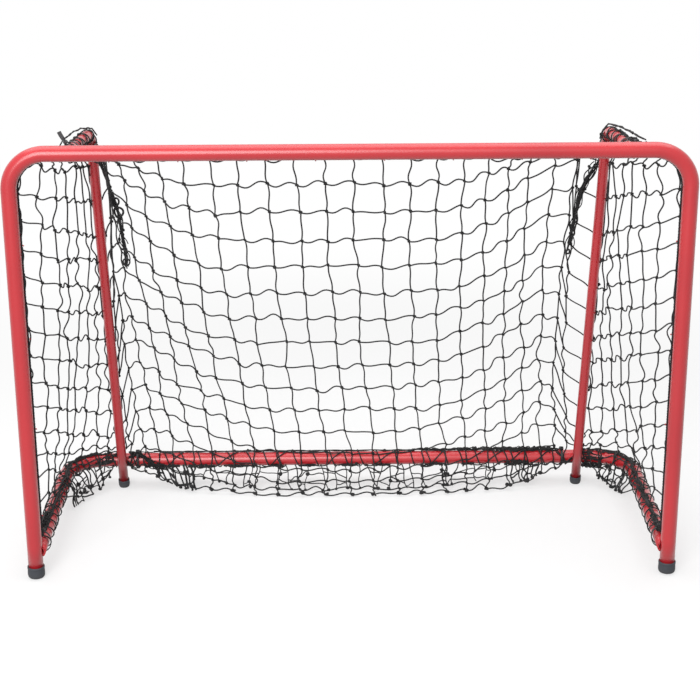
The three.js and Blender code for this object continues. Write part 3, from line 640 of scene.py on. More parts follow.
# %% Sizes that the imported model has
MOUTH_HEIGHT, FRAME_RADIUS, FRAME_WALL = 0.815, 0.014, 0.0015
POST_X = 0.586
CROSSBAR_Z = MOUTH_HEIGHT - FRAME_RADIUS
FRONT_BEND = 0.065
BEND_STEPS, RUN_STEPS = 24, 12         # how finely bends and straight runs are divided
BASE_X, BASE_REACH, BASE_Z, BASE_BEND = 0.580, 0.426, 0.052, 0.080
LEG_RADIUS, LEG_WALL, LEG_BEND = 0.0095, 0.0012, 0.050
LEG_BEND_STEPS, LEG_RUN_STEPS = 16, 8
LEG_X, ARM_X, LEG_TOP_REACH = 0.470, 0.482, 0.205
LEG_TOP_Z = CROSSBAR_Z - 0.008
LEG_FOOT_REACH = 0.40994
TUBE_END_Z = 0.0043
CLEARANCE = 0.0003
BAR_Y = FRONT_Y + BASE_REACH           # the rear bar's axis

SIDES = (("left", -1), ("right", 1))

front_line = bent_route([
    (-POST_X, FRONT_Y, TUBE_END_Z), (-POST_X, FRONT_Y, CROSSBAR_Z),
    (POST_X, FRONT_Y, CROSSBAR_Z), (POST_X, FRONT_Y, TUBE_END_Z)],
    FRONT_BEND, BEND_STEPS, RUN_STEPS)
base_line = bent_route([
    (-BASE_X, FRONT_Y, BASE_Z), (-BASE_X, BAR_Y, BASE_Z),
    (BASE_X, BAR_Y, BASE_Z), (BASE_X, FRONT_Y, BASE_Z)],
    BASE_BEND, BEND_STEPS, RUN_STEPS)


def leg_line(side):
    """A leg's middle line: from the crossbar back along the arm, round the bend and down."""
    corner = np.array((side * LEG_X, FRONT_Y + LEG_TOP_REACH, LEG_TOP_Z))
    foot = np.array((side * LEG_X, FRONT_Y + LEG_FOOT_REACH, 0.0))
    down = unit(foot - corner)
    end = foot + down * (TUBE_END_Z / down[2])
    return bent_route([(side * ARM_X, FRONT_Y, CROSSBAR_Z), corner, end],
                      LEG_BEND, LEG_BEND_STEPS, LEG_RUN_STEPS)


leg_lines = {name: leg_line(side) for name, side in SIDES}
for label, line in (("front", front_line), ("base", base_line), ("leg", leg_lines["left"])):
    print(label, "tube is", round(line_length(line), 3), "m")

# %% [markdown]
# ## The red frame
#
# Four tubes carry everything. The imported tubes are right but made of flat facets, so each
# is replaced by a finely swept tube of the same route and radius, with a real wall that
# shows at its open ends. Where the base tube and the arms meet the front frame, their ends
# are coped, which means cut to the round of the tube they butt against. The cope is made
# by moving each end ring point along the tube until it lies on that round.


# %% Tubes with a wall
TUBE_SIDES = 40
ARM_FRONT_PART = 0.1       # the length of an arm in which its cope can lie


def pipe(line, radius, wall, cope=None):
    """A tube with a bore. cope moves its first or last rings onto another tube's round."""
    outer, faces, _ = ring_sweep(line, radius, TUBE_SIDES)
    inner, _, _ = ring_sweep(line, radius - wall, TUBE_SIDES)
    if cope is not None:
        outer, inner = cope(outer), cope(inner)
    half = len(outer)
    body = faces[:-2]
    back = [tuple(half + i for i in reversed(face)) for face in body]
    last = half - TUBE_SIDES
    rims = []
    for j in range(TUBE_SIDES):
        n = (j + 1) % TUBE_SIDES
        rims.append((j, half + j, half + n, n))
        rims.append((last + j, last + n, half + last + n, half + last + j))
    return np.concatenate([outer, inner]), body + back + rims


def cope_to_post(points):
    """Moves points that reach into a post back to its surface, along the base tube."""
    points = points.copy()
    reach = FRAME_RADIUS + CLEARANCE
    aside = np.abs(points[:, 0]) - POST_X
    surface = FRONT_Y + np.sqrt(np.maximum(reach ** 2 - aside ** 2, 0))
    points[:, 1] = np.maximum(points[:, 1], surface)
    return points


def cope_to_crossbar(points):
    """Moves points that reach into the crossbar back to its surface, along the arm."""
    points = points.copy()
    reach = FRAME_RADIUS + CLEARANCE
    high = points[:, 2] - CROSSBAR_Z
    surface = FRONT_Y + np.sqrt(np.maximum(reach ** 2 - high ** 2, 0))
    near = points[:, 1] < FRONT_Y + ARM_FRONT_PART
    points[near, 1] = np.maximum(points[near, 1], surface[near])
    return points


# %% The four tubes
front_tube = make_piece("front_frame_tube", *pipe(front_line, FRAME_RADIUS, FRAME_WALL),
                        red_coat, "red_powder_coat")
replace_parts(front_tube, "front_frame")
base_tube = make_piece("base_frame_tube", *pipe(base_line, FRAME_RADIUS, FRAME_WALL, cope_to_post),
                       red_coat, "red_powder_coat")
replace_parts(base_tube, "base_frame")
for name, side in SIDES:
    leg = make_piece(f"{name}_leg_tube",
                     *pipe(leg_lines[name], LEG_RADIUS, LEG_WALL, cope_to_crossbar),
                     red_coat, "red_powder_coat")
    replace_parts(leg, f"{name}_rear_leg")

# %% [markdown]
# ## The net's knots
#
# The net is one rectangle of knotted netting, 42 meshes wide and sixteen high. Its upper
# edge hangs behind the crossbar, its two ends hang behind the posts, and it runs behind
# both legs and over both arms. Between the legs it falls straight to the rear bar. Near each
# leg the strands are drawn up to the arm's corner, like canvas to a tent pole, so fewer rows
# are left over there, and in the middle four spare rows lie on the floor. The two sides
# aren't drawn up, so their rows pass behind the leg about three rows lower than the back's.
# A cloth simulation would lose the square meshes, so each knot's place is worked out from
# its column and row instead, and only the slack in the cords is left to chance.

# %% How the net is cut and hung
COLUMNS, ROWS = 42, 16
LEG_COLUMN = 9                         # the ninth column from each end passes behind a leg
MESH_HIGH, MESH_WIDE = 0.062, 0.055    # cord from knot to knot
CORD_RADIUS = 0.0014
ROPE_RADIUS = 0.0020
ROPE_ANGLE = math.radians(60)
ROPE_SEAT = FRAME_RADIUS + CLEARANCE + ROPE_RADIUS
ROPE_IN, ROPE_BACK = ROPE_SEAT * math.sin(ROPE_ANGLE), ROPE_SEAT * math.cos(ROPE_ANGLE)
NET_BEHIND = ROPE_BACK + 0.0045        # the edge knots sit behind the rope
chance = np.random.default_rng(20)
print("net of", COLUMNS, "by", ROWS, "meshes")


# %% Places along the frame
def along_line(line, distance):
    """The point of a line at a distance from its start."""
    marks = distances(line)
    return np.array([np.interp(distance, marks, line[:, k]) for k in range(3)])


def beyond(value):
    """Zero below zero, and the value itself above, with a soft turn between."""
    return float(np.logaddexp(0, 2 * value) / 2)


BASE_LENGTH = line_length(base_line)
MIDDLE_RUN = BASE_LENGTH / 2
LEG_BASE_RUN = MIDDLE_RUN - LEG_X - LEG_RADIUS


def leg_at(side):
    """The middle line of the leg at -1 for left or 1 for right."""
    return leg_lines["left" if side < 0 else "right"]


def in_back(column):
    """Whether a column hangs between the two legs."""
    return LEG_COLUMN < column < COLUMNS - LEG_COLUMN


def from_net_end(column):
    """How many meshes a column is from the nearer end of the net."""
    return min(column, COLUMNS - column)


# %% [markdown]
# ### Behind the legs
#
# A leg is where the back and a side of the net meet. The upper three rows crowd together at
# the arm's bend, and the lower ones lie a fixed step apart down the leg. The side's rows
# pass the leg lower than the back's, by a shift that grows, stays the same and fades out.
# The first columns inside the leg go over from one to the other.

# %% Knots behind a leg
LEG_CROWDED_ROWS, LEG_ROW_STEP = 2.3, 0.058
ARM_START, ARM_END = 0.030, 0.012      # the two ends of an arm, where no column is tied
BEHIND_WAY = np.array((0.0, 0.97, 0.26))
SHIFT_START, SHIFT_GROWTH, SHIFT_MOST = 2.3, 0.35, 3.4
SHIFT_FADE, SHIFT_LAST_ROW = 0.8, 15.6
SHIFT_REACH = 0.038                    # how far into the back it is felt


def behind_leg(side, row):
    """A knot's place behind a leg. The upper rows crowd together at the arm's corner."""
    line = leg_at(side)
    corner_run = LEG_TOP_REACH - ARM_END
    point = along_line(line, corner_run + LEG_ROW_STEP * beyond(row - LEG_CROWDED_ROWS))
    return point + BEHIND_WAY * (LEG_RADIUS + CORD_RADIUS)


def side_shift(row):
    """How many rows lower the side's rows pass the leg than the back's, which are drawn up."""
    growing = SHIFT_START + SHIFT_GROWTH * row
    fading = SHIFT_FADE * (SHIFT_LAST_ROW - row)
    return max(min(growing, SHIFT_MOST, fading), 0)


def side_leg(side, row):
    """Where a row of the side net passes behind the leg."""
    return behind_leg(side, row + side_shift(row))


def looseness_beside_leg(gap):
    """The columns just inside a leg go over from the side's rows to the back's."""
    return math.exp(-(gap / SHIFT_REACH) ** 2)


# %% [markdown]
# ### The back
#
# A column of the back starts behind the crossbar and ends on the rear bar, and its knots
# fall by equal shares of the height, the first one by less. Then the whole column is drawn
# towards the nearer leg, most strongly close beside it. The net hangs askew and its
# columns bow a little to the left. The strands just inside each leg are gathered further
# into the bundle that is tied there.

# %% Knots of the back
BACK_HALF = (COLUMNS - 2 * LEG_COLUMN) / 2
BACK_CROWDING = 0.287                  # how much the back's columns crowd towards the legs
TENT_REACH, TENT_GROWTH = 0.30, 0.12   # how near a leg a strand is drawn up to it
BAR_ROWS_MIDDLE, BAR_ROWS_LEG = 11.8, 15.4
BAR_ROWS_SIDE, BAR_ROWS_POST = 12.7, 15.5
BAR_ROWS_REACH = 0.42                  # metres from a leg with more rows above the bar
POST_ROWS_REACH = 2.6                  # columns from a post with more rows above the tube
ROW_FALL, FALL_LATE = 0.0852, 0.0153
TOP_DRIFT = 0.046                      # the net hangs askew: its top lies this far left
LEFTMOST_TOP, RIGHTMOST_TOP = -0.455, 0.452
BUNDLE_X = 0.432                       # where the strands inside a leg are drawn together
BUNDLE_GAP, BUNDLE_PULL = 0.035, 0.75  # which strands join the bundle, and how closely
BACK_BOW = 0.008                       # how far the columns bow to the left halfway down


def tent_pull(gap, row):
    """How far a strand is drawn up to the leg, from 1 beside it to 0 far away."""
    reach = TENT_REACH + TENT_GROWTH * min(max((row - 5) / 8, 0), 1)
    return max(1 - gap / reach, 0) ** 2


def bar_rows(column):
    """The number of rows above the base tube at a column."""
    if in_back(column):
        gap = LEG_X - abs(back_x(column))
        near = BAR_ROWS_LEG - (BAR_ROWS_LEG - BAR_ROWS_SIDE) * looseness_beside_leg(gap)
        return BAR_ROWS_MIDDLE + (near - BAR_ROWS_MIDDLE) * max(1 - gap / BAR_ROWS_REACH, 0) ** 2
    near_post = math.exp(-(from_net_end(column) / POST_ROWS_REACH) ** 2)
    return BAR_ROWS_SIDE + (BAR_ROWS_POST - BAR_ROWS_SIDE) * near_post


def back_x(column):
    """Where a back column meets the rear bar. The columns crowd towards the legs."""
    share = (column - COLUMNS / 2) / BACK_HALF
    return LEG_X * share * (1 + BACK_CROWDING - BACK_CROWDING * share ** 2)


def back_knot(column, row):
    """A knot between the two legs and above the rear bar."""
    share = (column - COLUMNS / 2) / BACK_HALF
    side = -1 if share < 0 else 1
    low_x = back_x(column)
    high_x = min(max(low_x - TOP_DRIFT, LEFTMOST_TOP), RIGHTMOST_TOP)
    fall = max(ROW_FALL * row - FALL_LATE, 0) if row else 0
    part = min(row / bar_rows(column), 1)
    x = high_x + (low_x - high_x) * part
    middle = np.array((x, FRONT_Y + NET_BEHIND + fall * (BASE_REACH - NET_BEHIND),
                       CROSSBAR_Z - ROPE_IN - fall * (CROSSBAR_Z - ROPE_IN - BASE_Z - 0.016)))
    gap = LEG_X - abs(low_x)
    pull = tent_pull(gap, row) if row else 0
    corner = behind_leg(side, row + side_shift(row) * looseness_beside_leg(gap))
    place = middle + (corner - middle) * pull
    place[0] = x
    beside = math.exp(-((gap - BUNDLE_GAP) / BUNDLE_GAP) ** 2)
    beside *= min(max(1 - (row - 3) / 7, 0), 1)            # the bundle opens from row 3 to 10
    if row:
        place[0] += (side * BUNDLE_X - x) * beside * BUNDLE_PULL
        place[0] -= BACK_BOW * math.sin(math.pi * part)
    return place


# %% [markdown]
# ### The sides
#
# A side of the net is stretched between four edges: the rope on the post, the leg, the
# crossbar with the arm, and the side tube on the floor. Each edge gets a function of its
# own, and a knot between them is mixed from all four, so the surface meets every edge. The
# columns crowd towards the leg, less so in the lower rows, and the rows hang a little.

# %% The edges of a side
EDGE_X = 0.560                         # the net's upper corner, behind the crossbar
HOOKED_COLUMNS = 4                     # side columns hooked to the crossbar, not to the arm
COLUMN_SPREAD, COLUMN_POWER = 0.032, 0.63    # how far the hooked ones lie from the corner
ROWS_POST_TOP = 0.829                  # height that the rows on a post are counted down from
ROW_ON_POST = 0.0495                   # from one row to the next on a post
TUBE_FIRST_RUN = 0.022                 # where the net's end is tied round a side tube
SIDE_CROWDING = 2.1                    # the power by which columns crowd along a side tube


def on_base(column, row, turn):
    """A knot on the base tube. turn 90 is on top of it and 180 on its inner side."""
    share = 1 - (1 - from_net_end(column) / LEG_COLUMN) ** SIDE_CROWDING
    run = TUBE_FIRST_RUN + share * (LEG_BASE_RUN - TUBE_FIRST_RUN)
    if column > COLUMNS / 2:
        run = BASE_LENGTH - run
    if in_back(column):
        run = MIDDLE_RUN + back_x(column)
    point, ahead = along_line(base_line, run), along_line(base_line, run + 0.004)
    inward = -np.cross(UP, unit(ahead - point))
    angle = math.radians(turn)
    reach = FRAME_RADIUS + 2 * CORD_RADIUS
    return point + inward * -math.cos(angle) * reach + UP * math.sin(angle) * reach, inward


def start_of_column(side, from_end):
    """Where a side column starts: hooked behind the crossbar, or tied along the arm."""
    if from_end <= HOOKED_COLUMNS:
        return np.array((side * (EDGE_X - COLUMN_SPREAD * from_end ** COLUMN_POWER),
                         FRONT_Y + NET_BEHIND, CROSSBAR_Z - ROPE_IN))
    first = HOOKED_COLUMNS + 0.5
    share = (from_end - first) / (LEG_COLUMN - first)
    point = along_line(leg_at(side), ARM_START + share * (LEG_TOP_REACH - ARM_START - ARM_END))
    return point + np.array((side * 0.9, 0, 0.4)) * (LEG_RADIUS + CORD_RADIUS)


def front_edge(side, row):
    """The net's end, bound to the rope behind a post."""
    if row <= 0:
        return np.array((side * EDGE_X, FRONT_Y + NET_BEHIND, CROSSBAR_Z - ROPE_IN))
    z = max(ROWS_POST_TOP - ROW_ON_POST * row, BASE_Z + 0.012)
    bend = max(z - (CROSSBAR_Z - FRONT_BEND), 0)
    inward = FRONT_BEND - math.sqrt(max(FRONT_BEND ** 2 - bend ** 2, 0))
    return np.array((side * (POST_X - ROPE_IN - 0.6 * inward), FRONT_Y + NET_BEHIND, z))


# %% Knots of a side
CROWD_TOP, CROWD_LESS = 2.2, 0.07
LATE_DROP = 0.18
START_FADE = 1.6                       # how soon a column forgets where it was hooked
SIDE_SAG = 0.008                       # how far the side's rows hang between post and leg


def side_knot(column, row):
    """A knot between a post and a leg: the surface between the four edges round it."""
    side = -1 if column < COLUMNS / 2 else 1
    from_end = from_net_end(column)
    across = 1 - (1 - from_end / LEG_COLUMN) ** (CROWD_TOP - CROWD_LESS * row)
    full = bar_rows(column)
    down = min(row / full, 1)
    at_post = front_edge(side, row + (BAR_ROWS_POST - full) * down ** 4)
    at_leg = side_leg(side, row + (BAR_ROWS_SIDE - full) * down ** 4)
    point = at_post * (1 - across) + at_leg * across
    late = LATE_DROP * max(1 - row / 10, 0) * min(row, 1)  # the rows drop late, beside the leg
    point[2] += (at_post[2] - at_leg[2]) * across * late * (1 - across ** 7)
    start = front_edge(side, 0) * (1 - across) + side_leg(side, 0) * across
    end = front_edge(side, BAR_ROWS_POST) * (1 - across) + side_leg(side, BAR_ROWS_SIDE) * across
    point = point + (start_of_column(side, from_end) - start) * math.exp(-START_FADE * row)
    point = point + (on_base(column, row, 90)[0] - end) * down ** 3
    sag = SIDE_SAG * math.sin(math.pi * across ** 0.7) * math.sin(math.pi * down ** 0.6)
    return point - np.array((side * 0.3, 0, 1)) * sag


# %% [markdown]
# ### Below the base tube
#
# The rows that are left over are first drawn round the base tube. What is more than that
# hangs down to the floor and lies forward on it. The curve is an exponential one: it drops
# steeply at the tube and flattens out towards the floor.

# %% Knots below the base tube
SIDE_BUNCHED = (0.110, 85, 165)        # net drawn round a side tube, from one turn to another
BAR_BUNCHED = (0.036, 90, 185)         # the same for the rear bar
LOOSE_REACH = 0.050                    # within this of a leg nothing hangs loose
TIGHT_TURN, LOOSE_ENOUGH = 122, 0.03
FLOOR_FALL, FALL_POWER = 0.048, 1.3
SIDE_FALL_LENGTH, BACK_FALL_LENGTH = 0.070, 0.095
SIDE_FORWARD, BACK_FORWARD = 0.34, 0.27


def spare_knot(column, row):
    """A knot below the base tube: round its inner side, down, and forward over the floor.

    On the side tubes nearly two rows are bunched against the tube, the rest hangs loose,
    and close to a leg everything is bunched.
    """
    spare = (row - bar_rows(column)) * MESH_HIGH
    beside = not in_back(column)
    bunched, first_turn, last_turn = SIDE_BUNCHED if beside else BAR_BUNCHED
    if beside:
        share = 1 - from_net_end(column) / LEG_COLUMN
        from_leg = LEG_BASE_RUN * share ** SIDE_CROWDING
    else:
        from_leg = LEG_X - abs(back_x(column))
    loose = 1 - math.exp(-(from_leg / LOOSE_REACH) ** 2)
    rest = loose * max(spare - bunched, 0)
    if beside:                         # where nothing hangs, all stays close to the top
        whole = loose * max((ROWS - bar_rows(column)) * MESH_HIGH - bunched, 0)
        last_turn = TIGHT_TURN + (last_turn - TIGHT_TURN) * min(whole / LOOSE_ENOUGH, 1)
    point, inward = on_base(column, row, first_turn
                            + min(spare / bunched, 1) * (last_turn - first_turn))
    fall_length = SIDE_FALL_LENGTH if beside else BACK_FALL_LENGTH
    fall = FLOOR_FALL * (1 - math.exp(-(rest / fall_length) ** FALL_POWER))
    forward = rest * (SIDE_FORWARD if beside else BACK_FORWARD)
    point = point + inward * forward - UP * fall
    point[2] = max(point[2], 2 * CORD_RADIUS)
    return point


def on_tube(column, row):
    """Whether a knot is one of those bunched against the base tube."""
    bunched = (BAR_BUNCHED if in_back(column) else SIDE_BUNCHED)[0]
    return 0 <= (row - bar_rows(column)) * MESH_HIGH <= bunched


# %% All the knots
def knot_place(column, row):
    """A knot's place, from whichever part of the net it belongs to."""
    if row > bar_rows(column):
        return spare_knot(column, row)
    if in_back(column):
        return back_knot(column, row)
    if column in (LEG_COLUMN, COLUMNS - LEG_COLUMN):
        return side_leg(-1 if column == LEG_COLUMN else 1, row)
    return side_knot(column, row)


knots = np.array([[knot_place(c, r) for r in range(ROWS + 1)] for c in range(COLUMNS + 1)])

# Each knot is tied by hand, so none sits quite where it should. The sides are slacker than
# the back, and the edges that are bound to the rope can hardly stray.
SHAKE_BACK, SHAKE_SIDE, SHAKE_TOP, SHAKE_POST = 0.0022, 0.0028, 0.0006, 0.0012
shake = chance.normal(0, 1, knots.shape)
looseness = np.full((COLUMNS + 1, ROWS + 1, 1), SHAKE_BACK)
looseness[:LEG_COLUMN] = looseness[-LEG_COLUMN:] = SHAKE_SIDE
looseness[:, 0] = SHAKE_TOP
looseness[0] = looseness[-1] = SHAKE_POST
knots += shake * looseness * np.array((1.0, 0.6, 1.0))
knots[..., 2] = np.maximum(knots[..., 2], 2 * CORD_RADIUS)
print("knots", knots.shape[0] * knots.shape[1], "flat net",
      round(COLUMNS * MESH_WIDE, 2), "by", round(ROWS * MESH_HIGH, 2), "m")

# %% [markdown]
# ## The cords between the knots
#
# A twine between two knots is a little longer than the gap it spans, and it keeps the
# curl it had on its spool, so it hangs as a soft S. The extra length gives the height of
# that wave: a sine wave of height h over a gap g is longer than the gap by about
# (pi h / g) squared over four. Points that end up inside a tube are then pushed out to its
# surface, and the line is smoothed and pushed again until it lies on the tube. In the two
# sides the net is slack both ways, so its cords curl more there.

# %% Wavy cords
CORD_STEPS = 10
LEAST_SLACK, MOST_SLACK = 1.008, 1.30
KNOT_HALF = 0.0014                     # a knot's cords leave it this far from its middle
TAUT_WAVE = 0.0030                     # the highest wave of a cord drawn against the base tube
WAVE_DOWN, WAVE_ACROSS = 0.0085, 0.0120      # the highest waves of cords that hang free
SIDE_CURL_DOWN = 1.6                   # how much more than in the back the side cords curl
SIDE_CURL_ACROSS = 1.2
PUSH_ROUNDS, SMOOTHING = 6, 0.25       # how often and how much a pushed cord is smoothed
cord_share = np.linspace(0, 1, CORD_STEPS + 1)


def slack_cord(start, end, cord_length, wave_way, most_wave, curl=1.0):
    """Points from start to end of a cord that is longer than the gap it spans.

    It leaves the knot along wave_way and comes back to the next knot from the other side.
    """
    gap = float(np.linalg.norm(end - start))
    slack = min(max(cord_length / max(gap, 1e-6), LEAST_SLACK), MOST_SLACK)
    height = curl * min(2 * gap / math.pi * math.sqrt(slack - 1), most_wave)
    along = (end - start) / max(gap, 1e-6)
    wander = chance.normal(0, 1, 3)
    way = wave_way + 0.35 * wander
    way -= along * float(way @ along)
    way /= max(float(np.linalg.norm(way)), 1e-6)
    s_part = chance.uniform(0.15, 0.55) * (1 if chance.random() < 0.86 else -0.6)
    bow_part = chance.normal(0.05, 0.22)
    line = start + (end - start) * cord_share[:, None]
    return line + way * (height * (s_part * np.sin(2 * np.pi * cord_share)
                                   + bow_part * np.sin(np.pi * cord_share)))[:, None]


def curl_at(column, on_side):
    """How much a cord curls: on_side in the two side nets, 1 in the back."""
    return 1.0 if LEG_COLUMN <= column <= COLUMNS - LEG_COLUMN else on_side


# %% All the cords
cords = []
for c in range(COLUMNS + 1):
    for r in range(ROWS):
        aside = unit(knots[min(c + 1, COLUMNS), r] - knots[max(c - 1, 0), r])
        start = knots[c, r] + KNOT_HALF * (DOWN + 0.5 * aside)
        end = knots[c, r + 1] - KNOT_HALF * (DOWN + 0.5 * aside)
        most_wave = TAUT_WAVE if on_tube(c, r) or on_tube(c, r + 1) else WAVE_DOWN
        cords.append(slack_cord(start, end, MESH_HIGH, aside * chance.choice((-1, 1)), most_wave,
                                curl_at(c, SIDE_CURL_DOWN)))
for r in range(ROWS + 1):
    for c in range(COLUMNS):
        ahead = unit(knots[c + 1, r] - knots[c, r])
        start = knots[c, r] + KNOT_HALF * (ahead + DOWN)
        end = knots[c + 1, r] - KNOT_HALF * (ahead + DOWN)
        most_wave = TAUT_WAVE if on_tube(c, r) or on_tube(c + 1, r) else WAVE_ACROSS
        cords.append(slack_cord(start, end, MESH_WIDE, DOWN, most_wave,
                                curl_at(c + 0.5, SIDE_CURL_ACROSS)))
cords = np.array(cords)
print("cords", len(cords), "of which across", (ROWS + 1) * COLUMNS)

# %% Keep the cords off the tubes and the floor
tubes = [(front_line, FRAME_RADIUS, False), (base_line, FRAME_RADIUS, False)]
tubes += [(line, LEG_RADIUS, True) for line in leg_lines.values()]


def push_off_tubes(points, gap):
    """Moves points that lie inside a tube out to its surface plus a gap.

    The net runs behind the legs, so points inside a leg come out at its back.
    """
    flat = points.reshape(-1, 3)
    for line, radius, is_leg in tubes:
        starts, spans = line[:-1], np.diff(line, axis=0)
        keep = np.linalg.norm(spans, axis=1) > 1e-7
        starts, spans = starts[keep], spans[keep]
        squares = (spans ** 2).sum(1)
        offsets = flat[:, None] - starts[None]
        share = np.clip((offsets * spans).sum(2) / squares, 0, 1)
        nearest = starts[None] + share[..., None] * spans[None]
        away = flat[:, None] - nearest
        reach = np.linalg.norm(away, axis=2)
        best = reach.argmin(1)
        rows = np.arange(len(flat))
        close = reach[rows, best]
        inside = close < radius + gap
        way = away[rows, best] / np.maximum(close, 1e-9)[:, None]
        if is_leg:
            way[:, 1] = np.abs(way[:, 1])
        flat[inside] = (nearest[rows, best] + way * (radius + gap))[inside]
    flat[:, 2] = np.maximum(flat[:, 2], gap)
    return flat.reshape(points.shape)


for _ in range(PUSH_ROUNDS):
    cords = push_off_tubes(cords, CORD_RADIUS)
    middle = cords[:, 1:-1]
    cords[:, 1:-1] = middle + SMOOTHING * (0.5 * (cords[:, :-2] + cords[:, 2:]) - middle)
cords = push_off_tubes(cords, CORD_RADIUS)
print("cord points", cords.shape)

# %% [markdown]
# ## Cords and knots as meshes
#
# Every cord becomes a six sided tube, a little under three millimetres thick, with its
# length and turn stored for the twisted look of the twine. A mesh knot is one cord looped
# round another and pulled tight. It is modelled once as a short closed loop of the same
# cord that crosses over itself, and is copied to each crossing with its own turn and size.

# %% The net's mesh
CORD_SIDES = 6
net = make_cords("net_cords", [ring_sweep(line, CORD_RADIUS, CORD_SIDES) for line in cords],
                 net_twine)
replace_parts(net, "net_back", "left_side_net", "right_side_net", "net_hem")

# %% The net's knots
KNOT_TURNS = np.linspace(0, 2 * np.pi, 23)[:-1]
KNOT_SIZE = 0.0023
knot_line = np.stack([
    (2 + np.cos(3 * KNOT_TURNS)) * np.cos(2 * KNOT_TURNS),
    (2 + np.cos(3 * KNOT_TURNS)) * np.sin(2 * KNOT_TURNS),
    1.2 * np.sin(3 * KNOT_TURNS)], 1) / 3 * KNOT_SIZE
KNOT_SIDES = 5
KNOT_LAY_STEP = 0.0015     # the lay goes on by this much from point to point of a loop
KNOT_GAP = 0.0026          # a knot is thicker than its cord, so it lies further off a tube


def loop_ways(line):
    """The directions along a line that returns to its start."""
    return unit_rows(np.roll(line, -1, axis=0) - np.roll(line, 1, axis=0))


def closed_ring_sweep(line, radius, sides):
    """Rings along a line that returns to its start."""
    ahead = loop_ways(line)
    across = unit_rows(np.cross(ahead, unit_rows(line)))
    count = len(line)
    return (rings_round(line, radius, across, np.cross(ahead, across), sides),
            ring_faces(count, sides, closed=True),
            lay_marks(np.arange(count) * KNOT_LAY_STEP, sides))


knot_shape = closed_ring_sweep(knot_line, CORD_RADIUS, KNOT_SIDES)
KNOT_REACH = float(np.linalg.norm(knot_shape[0], axis=1).max())


def turned_knot(place, size):
    """The knot's shape at a place, turned at random. It never reaches below the floor."""
    turned = chance.uniform(0, 6.28)
    spin = np.array(Matrix.Rotation(turned, 3, Vector(chance.normal(0, 1, 3))))
    place = np.array((place[0], place[1], max(place[2], size * KNOT_REACH)))
    return knot_shape[0] @ spin.T * size + place, knot_shape[1], knot_shape[2]


knot_places = push_off_tubes(knots.copy(), KNOT_GAP).reshape(-1, 3)
print("knots made", len(knot_places))
make_cords("net_knots", [turned_knot(p, chance.uniform(0.9, 1.15)) for p in knot_places], net_twine)

# %% [markdown]
# ## The border rope
#
# The net's edge is bound to a thicker rope that is hooked behind the crossbar and the posts.
# It is laid from three strands. Each strand is a tube that winds round the rope's middle
# line, and the three start a third of a turn apart. The open lower ends are stopped with
# a knot so that the rope can't slip through the last mesh.


# %% Laid rope
STRAND_PRESS = 1.06        # strands are pressed together, so each is a little wider


def resample(line, step):
    """The same line with its points about one step apart, and how far along each lies."""
    marks = distances(line)
    even = np.linspace(0, marks[-1], max(int(round(marks[-1] / step)), 2) + 1)
    return between_rows(even, marks, line), even


def laid_rope(line, radius, lay_length, step=0.002, strands=3, sides=5):
    """Strands that wind round a line, as in a laid rope of the given radius."""
    line, travelled = resample(line, step)
    _, across, over = carried_frames(line)
    strand = radius / (1 + 2 / math.sqrt(3)) * STRAND_PRESS
    parts = []
    for k in range(strands):
        angle = 2 * np.pi * (travelled / lay_length + k / strands)
        centre = line + (radius - strand) * (across * np.cos(angle)[:, None]
                                             + over * np.sin(angle)[:, None])
        parts.append(ring_sweep(centre, strand, sides))
    return parts


ROPE_LAY = 0.016           # one turn of a strand round the rope
ROPE_BEND_STEPS = 16
ROPE_END_Z = 0.082
STOP_KNOT_SIZE = 1.25
STOP_KNOTS = np.array(((0, 0.001, 0.004), (0, 0.001, 0.0)))    # places beside the rope's end
rope_x, rope_y, rope_z = POST_X - ROPE_IN, FRONT_Y + ROPE_BACK, CROSSBAR_Z - ROPE_IN
rope_line = bent_route([(-rope_x, rope_y, ROPE_END_Z), (-rope_x, rope_y, rope_z),
                        (rope_x, rope_y, rope_z), (rope_x, rope_y, ROPE_END_Z)],
                       FRONT_BEND - ROPE_IN, ROPE_BEND_STEPS)
parts = laid_rope(rope_line, ROPE_RADIUS, ROPE_LAY)
for end in (rope_line[0], rope_line[-1]):
    parts += [turned_knot(end + beside, STOP_KNOT_SIZE) for beside in STOP_KNOTS]
rope = make_cords("border_rope_strands", parts, rope_twine)
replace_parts(rope, "border_rope")
print("border rope", round(line_length(rope_line), 3), "m")

# %% [markdown]
# ## Lacing round the base tube
#
# A long cord is wound round the base tube and through every mesh that crosses it. It lies
# over the net's own cords. A hand keeps no even pitch, so each turn is a little wider or
# narrower than the one before. It stops short of the legs, where a spacer fills the gap.

# %% Lacing
WRAP_RADIUS = FRAME_RADIUS + 1.8 * CORD_RADIUS
LACE_RADIUS = 0.0013
LACE_STEPS = 18            # points in each turn of a lacing
SLOPE_REACH = 0.002        # the tube's direction is taken between points this far either way
base_marks = distances(base_line)


def base_points(runs):
    """Points of the base tube's middle line, and the way inward there."""
    behind, here, ahead = (between_rows(runs + aside, base_marks, base_line)
                           for aside in (-SLOPE_REACH, 0, SLOPE_REACH))
    return here, -np.cross(UP, unit_rows(ahead - behind))


def round_base(runs, turns, reach):
    """Points round the base tube. turns are degrees: 90 on top, 180 on its inner side."""
    points, inward = base_points(runs)
    angle = np.radians(turns)[:, None]
    return points + np.reshape(reach, (-1, 1)) * (UP * np.sin(angle) - inward * np.cos(angle))


def smooth_noise(travelled, lengths, waves=3):
    """A smooth wander between about -1 and 1 along a line."""
    total = np.zeros(len(travelled))
    for _ in range(waves):
        total += chance.uniform(0.4, 1) * np.sin(
            2 * np.pi * (travelled / chance.uniform(*lengths) + chance.random()))
    return total / (0.7 * waves)


